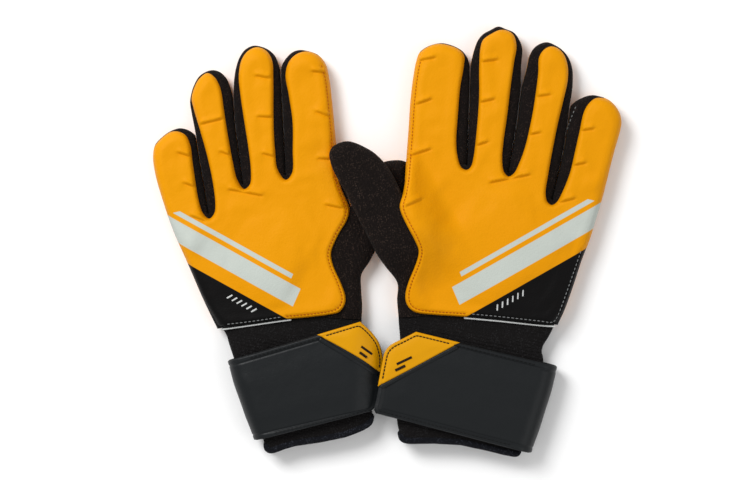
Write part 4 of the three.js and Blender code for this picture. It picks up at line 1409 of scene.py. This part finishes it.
def carried(side, xy):
    """The strap's top surface height at points in plan."""
    grid = np.column_stack([xy, np.full(len(xy), STRAP_TOP + STRAP_THICK / 2)])
    curl(side, grid)
    return grid[:, 2]


def tab_pad(glove, name, line, spacing, rings, look, rise, sink):
    """A thin pad on the strap; rise gives its height over the strap from the distance to its edge."""
    xy, tris = plan(line, spacing, rings)
    edge = edge_distance(xy, line, True)
    base = carried(glove.side, xy)
    top = base + rise(xy, edge)
    bottom = np.where(edge == 0, top, base - sink)
    return pad(f"{glove.side}_{name}", xy, tris, top, bottom, look)


def make_tab(glove):
    """The coloured pull tab with its edge stitching and mark, and the dark binding beside it."""
    side, strap, table = glove.side, f"{glove.side}_strap", glove.table
    line = closed_line(table["tab"])
    corners = [np.array(p[:2]) for p in table["tab"] if len(p) > 2]
    sewn = line[: int(np.argmin(np.linalg.norm(line - corners[-1], axis=1))) + 1]

    def rise(xy, edge):
        groove = 0.35 * np.exp(-(((distance(xy, sewn) - TAB_SEAM) / 0.5) ** 2))
        return 0.1 + 1.1 * profile(edge / 0.9) + 0.35 * smooth((edge - TAB_SEAM) / 4) - groove

    piece = tab_pad(glove, "pull_tab", line, 1.3, (0.15, 0.5, 1.0, 1.7), LOOKS["tab"], rise, 0.5)
    settle(piece, strap, f"{side}_strap_tab")
    run = np.gradient(sewn, axis=0)
    normal = np.stack([-run[:, 1], run[:, 0]], axis=1) / np.linalg.norm(run, axis=1)[:, None]
    turn = 1 if inside(sewn[3:4] + normal[3] * 0.8, line)[0] else -1
    inner = sewn + normal * turn * TAB_SEAM
    inner = inner[inside(inner, line)]
    inner = inner[distance(inner, line, True) > TAB_SEAM * 0.93]
    path = np.column_stack([inner, carried(side, inner) + 1.0])
    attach(stitches(f"{side}_tab_stitches", path, LOOKS["brown"], 1.9, 1.75, 0.4, 0.0), strap)
    for k, ends in enumerate(table["tab_mark"]):
        bar = evenly(np.array(ends, float), 0.5)
        path = np.column_stack([bar, carried(side, bar) + 1.58])
        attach(tube(f"{side}_tab_bar_{k + 1}", path, (0.7, 0.25), LOOKS["brown"]), strap)
    make_tab_binding(glove, corners[0], corners[-1])


def make_tab_binding(glove, start, end):
    """The dark strip along the tab's inner edge, on the side away from the tab."""
    run = unit(end - start)
    middle = np.mean([p[:2] for p in glove.table["tab"]], axis=0)
    normal = left_of(run)
    normal = normal * -math.copysign(1, (middle - start) @ normal)
    first, last = start + run * 2.2, end - run
    strip = [first, last, last + normal * 2.5, first + normal * 2.5]
    line = closed_line([tuple(p) + (C,) for p in strip])

    def rise(_, edge):
        return 0.15 + 0.75 * profile(edge / 0.8)

    piece = tab_pad(glove, "tab_binding", line, 0.9, (0.15, 0.5), LOOKS["strap"], rise, 0.4)
    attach(piece, f"{glove.side}_strap")


def make_patches(glove, strap):
    """Loop on top of the sleeve and hook under the flap."""
    side, rows, columns = glove.side, 40, 30
    for name, z, body, node, (low, high) in (
        ("loop_pile", 0.6, glove.hand, "loop_patch", (0.16, 0.72)),
        ("hook_pile", 16.1, f"{side}_strap", "hook_patch", (0.18, 0.5)),
    ):
        i, j = np.meshgrid(np.arange(rows), np.arange(columns), indexing="ij")
        column = np.rint((0.14 + 0.72 * j / (columns - 1)) * (len(strap.free) - 1)).astype(int)
        share = (low + (high - low) * i / (rows - 1))[..., None]
        free, turn = strap.free[column], strap.turn[column]
        xy = free + (turn - free) * share
        centre = np.concatenate([xy, np.full((rows, columns, 1), z)], axis=2)
        if body == glove.hand:
            centre[..., 2] += sleeve_top(glove, xy.reshape(-1, 2)).reshape(rows, columns)
        else:
            curl(side, centre)
        pile = wobble(xy.reshape(-1, 2), 2.1, 5).reshape(rows, columns)
        border = np.minimum(np.minimum(i, rows - 1 - i), np.minimum(j, columns - 1 - j)) * 1.1
        thickness = 0.55 * profile(border / 1.2) + 0.1 * pile * smooth(border / 2)
        upward = np.zeros_like(centre)
        upward[..., 2] = 1
        piece = ribbon(f"{side}_{name}", centre, upward, thickness, thickness, LOOKS["hook"])
        settle(piece, body, f"{side}_{node}")


def make_glove(side):
    glove = Glove(side)
    xy, tris, part, rims = body_plan(glove)
    top, bottom, palm_top, palm_bottom = body_heights(glove, xy)
    sheet = (xy, tris, part)
    make_body(glove, sheet, rims, top, bottom)
    make_foam(glove, "palm", "palm_foam", glove.bends, sheet, palm_top, palm_bottom, LOOKS["foam"])
    make_back(glove)
    make_piping(glove)
    make_seams(glove)
    make_print_bars(glove)
    make_sleeve(glove)
    make_strap(glove)


for side in GLOVES:
    make_glove(side)


# ---- Stage, camera and light ---------------------------------------------------------------------

FLOOR_REACH = 2000
FLOOR_Z = -0.1
VIEW_WIDTH = 413.25
VIEW_CENTRE = (-6.9, -0.3)
CAMERA_HEIGHT = 1300.0
MEASURED_AT = 10.0  # the height at which the view is VIEW_WIDTH wide
SENSOR = 36

quarters = ((-1, -1), (1, -1), (1, 1), (-1, 1))
floor_corners = [(x * FLOOR_REACH, y * FLOOR_REACH, FLOOR_Z) for x, y in quarters]
floor_look = Look("floor", (0.9, 0.9, 0.9, 1), 0.8, 0.2).done()
floor = make_object("floor", floor_corners, [(0, 1, 2, 3)], floor_look)

camera_data = bpy.data.cameras.new("camera")
camera_data.sensor_width = SENSOR
camera_data.lens = SENSOR * (CAMERA_HEIGHT - MEASURED_AT) / VIEW_WIDTH
camera = bpy.data.objects.new("camera", camera_data)
camera.location = (VIEW_CENTRE[0] * MM, VIEW_CENTRE[1] * MM, CAMERA_HEIGHT * MM)
camera_data.clip_end = 10
bpy.context.scene.collection.objects.link(camera)
bpy.context.scene.camera = camera


def area_light(name, location, size, power):
    data = bpy.data.lights.new(name, "AREA")
    data.size = size
    data.energy = power
    made = bpy.data.objects.new(name, data)
    made.location = location
    made.rotation_euler = (-Vector(location)).to_track_quat("-Z", "Y").to_euler()
    bpy.context.scene.collection.objects.link(made)


area_light("key", (-0.8, 0.8, 1.25), 0.7, 24)
area_light("fill", (1.2, -0.6, 1.3), 1.2, 6)
world = bpy.data.worlds.new("studio")
world.use_nodes = True
world.node_tree.nodes["Background"].inputs[0].default_value = (1, 1, 1, 1)
world.node_tree.nodes["Background"].inputs[1].default_value = 0.56
bpy.context.scene.world = world
bpy.context.scene.view_settings.view_transform = "Standard"
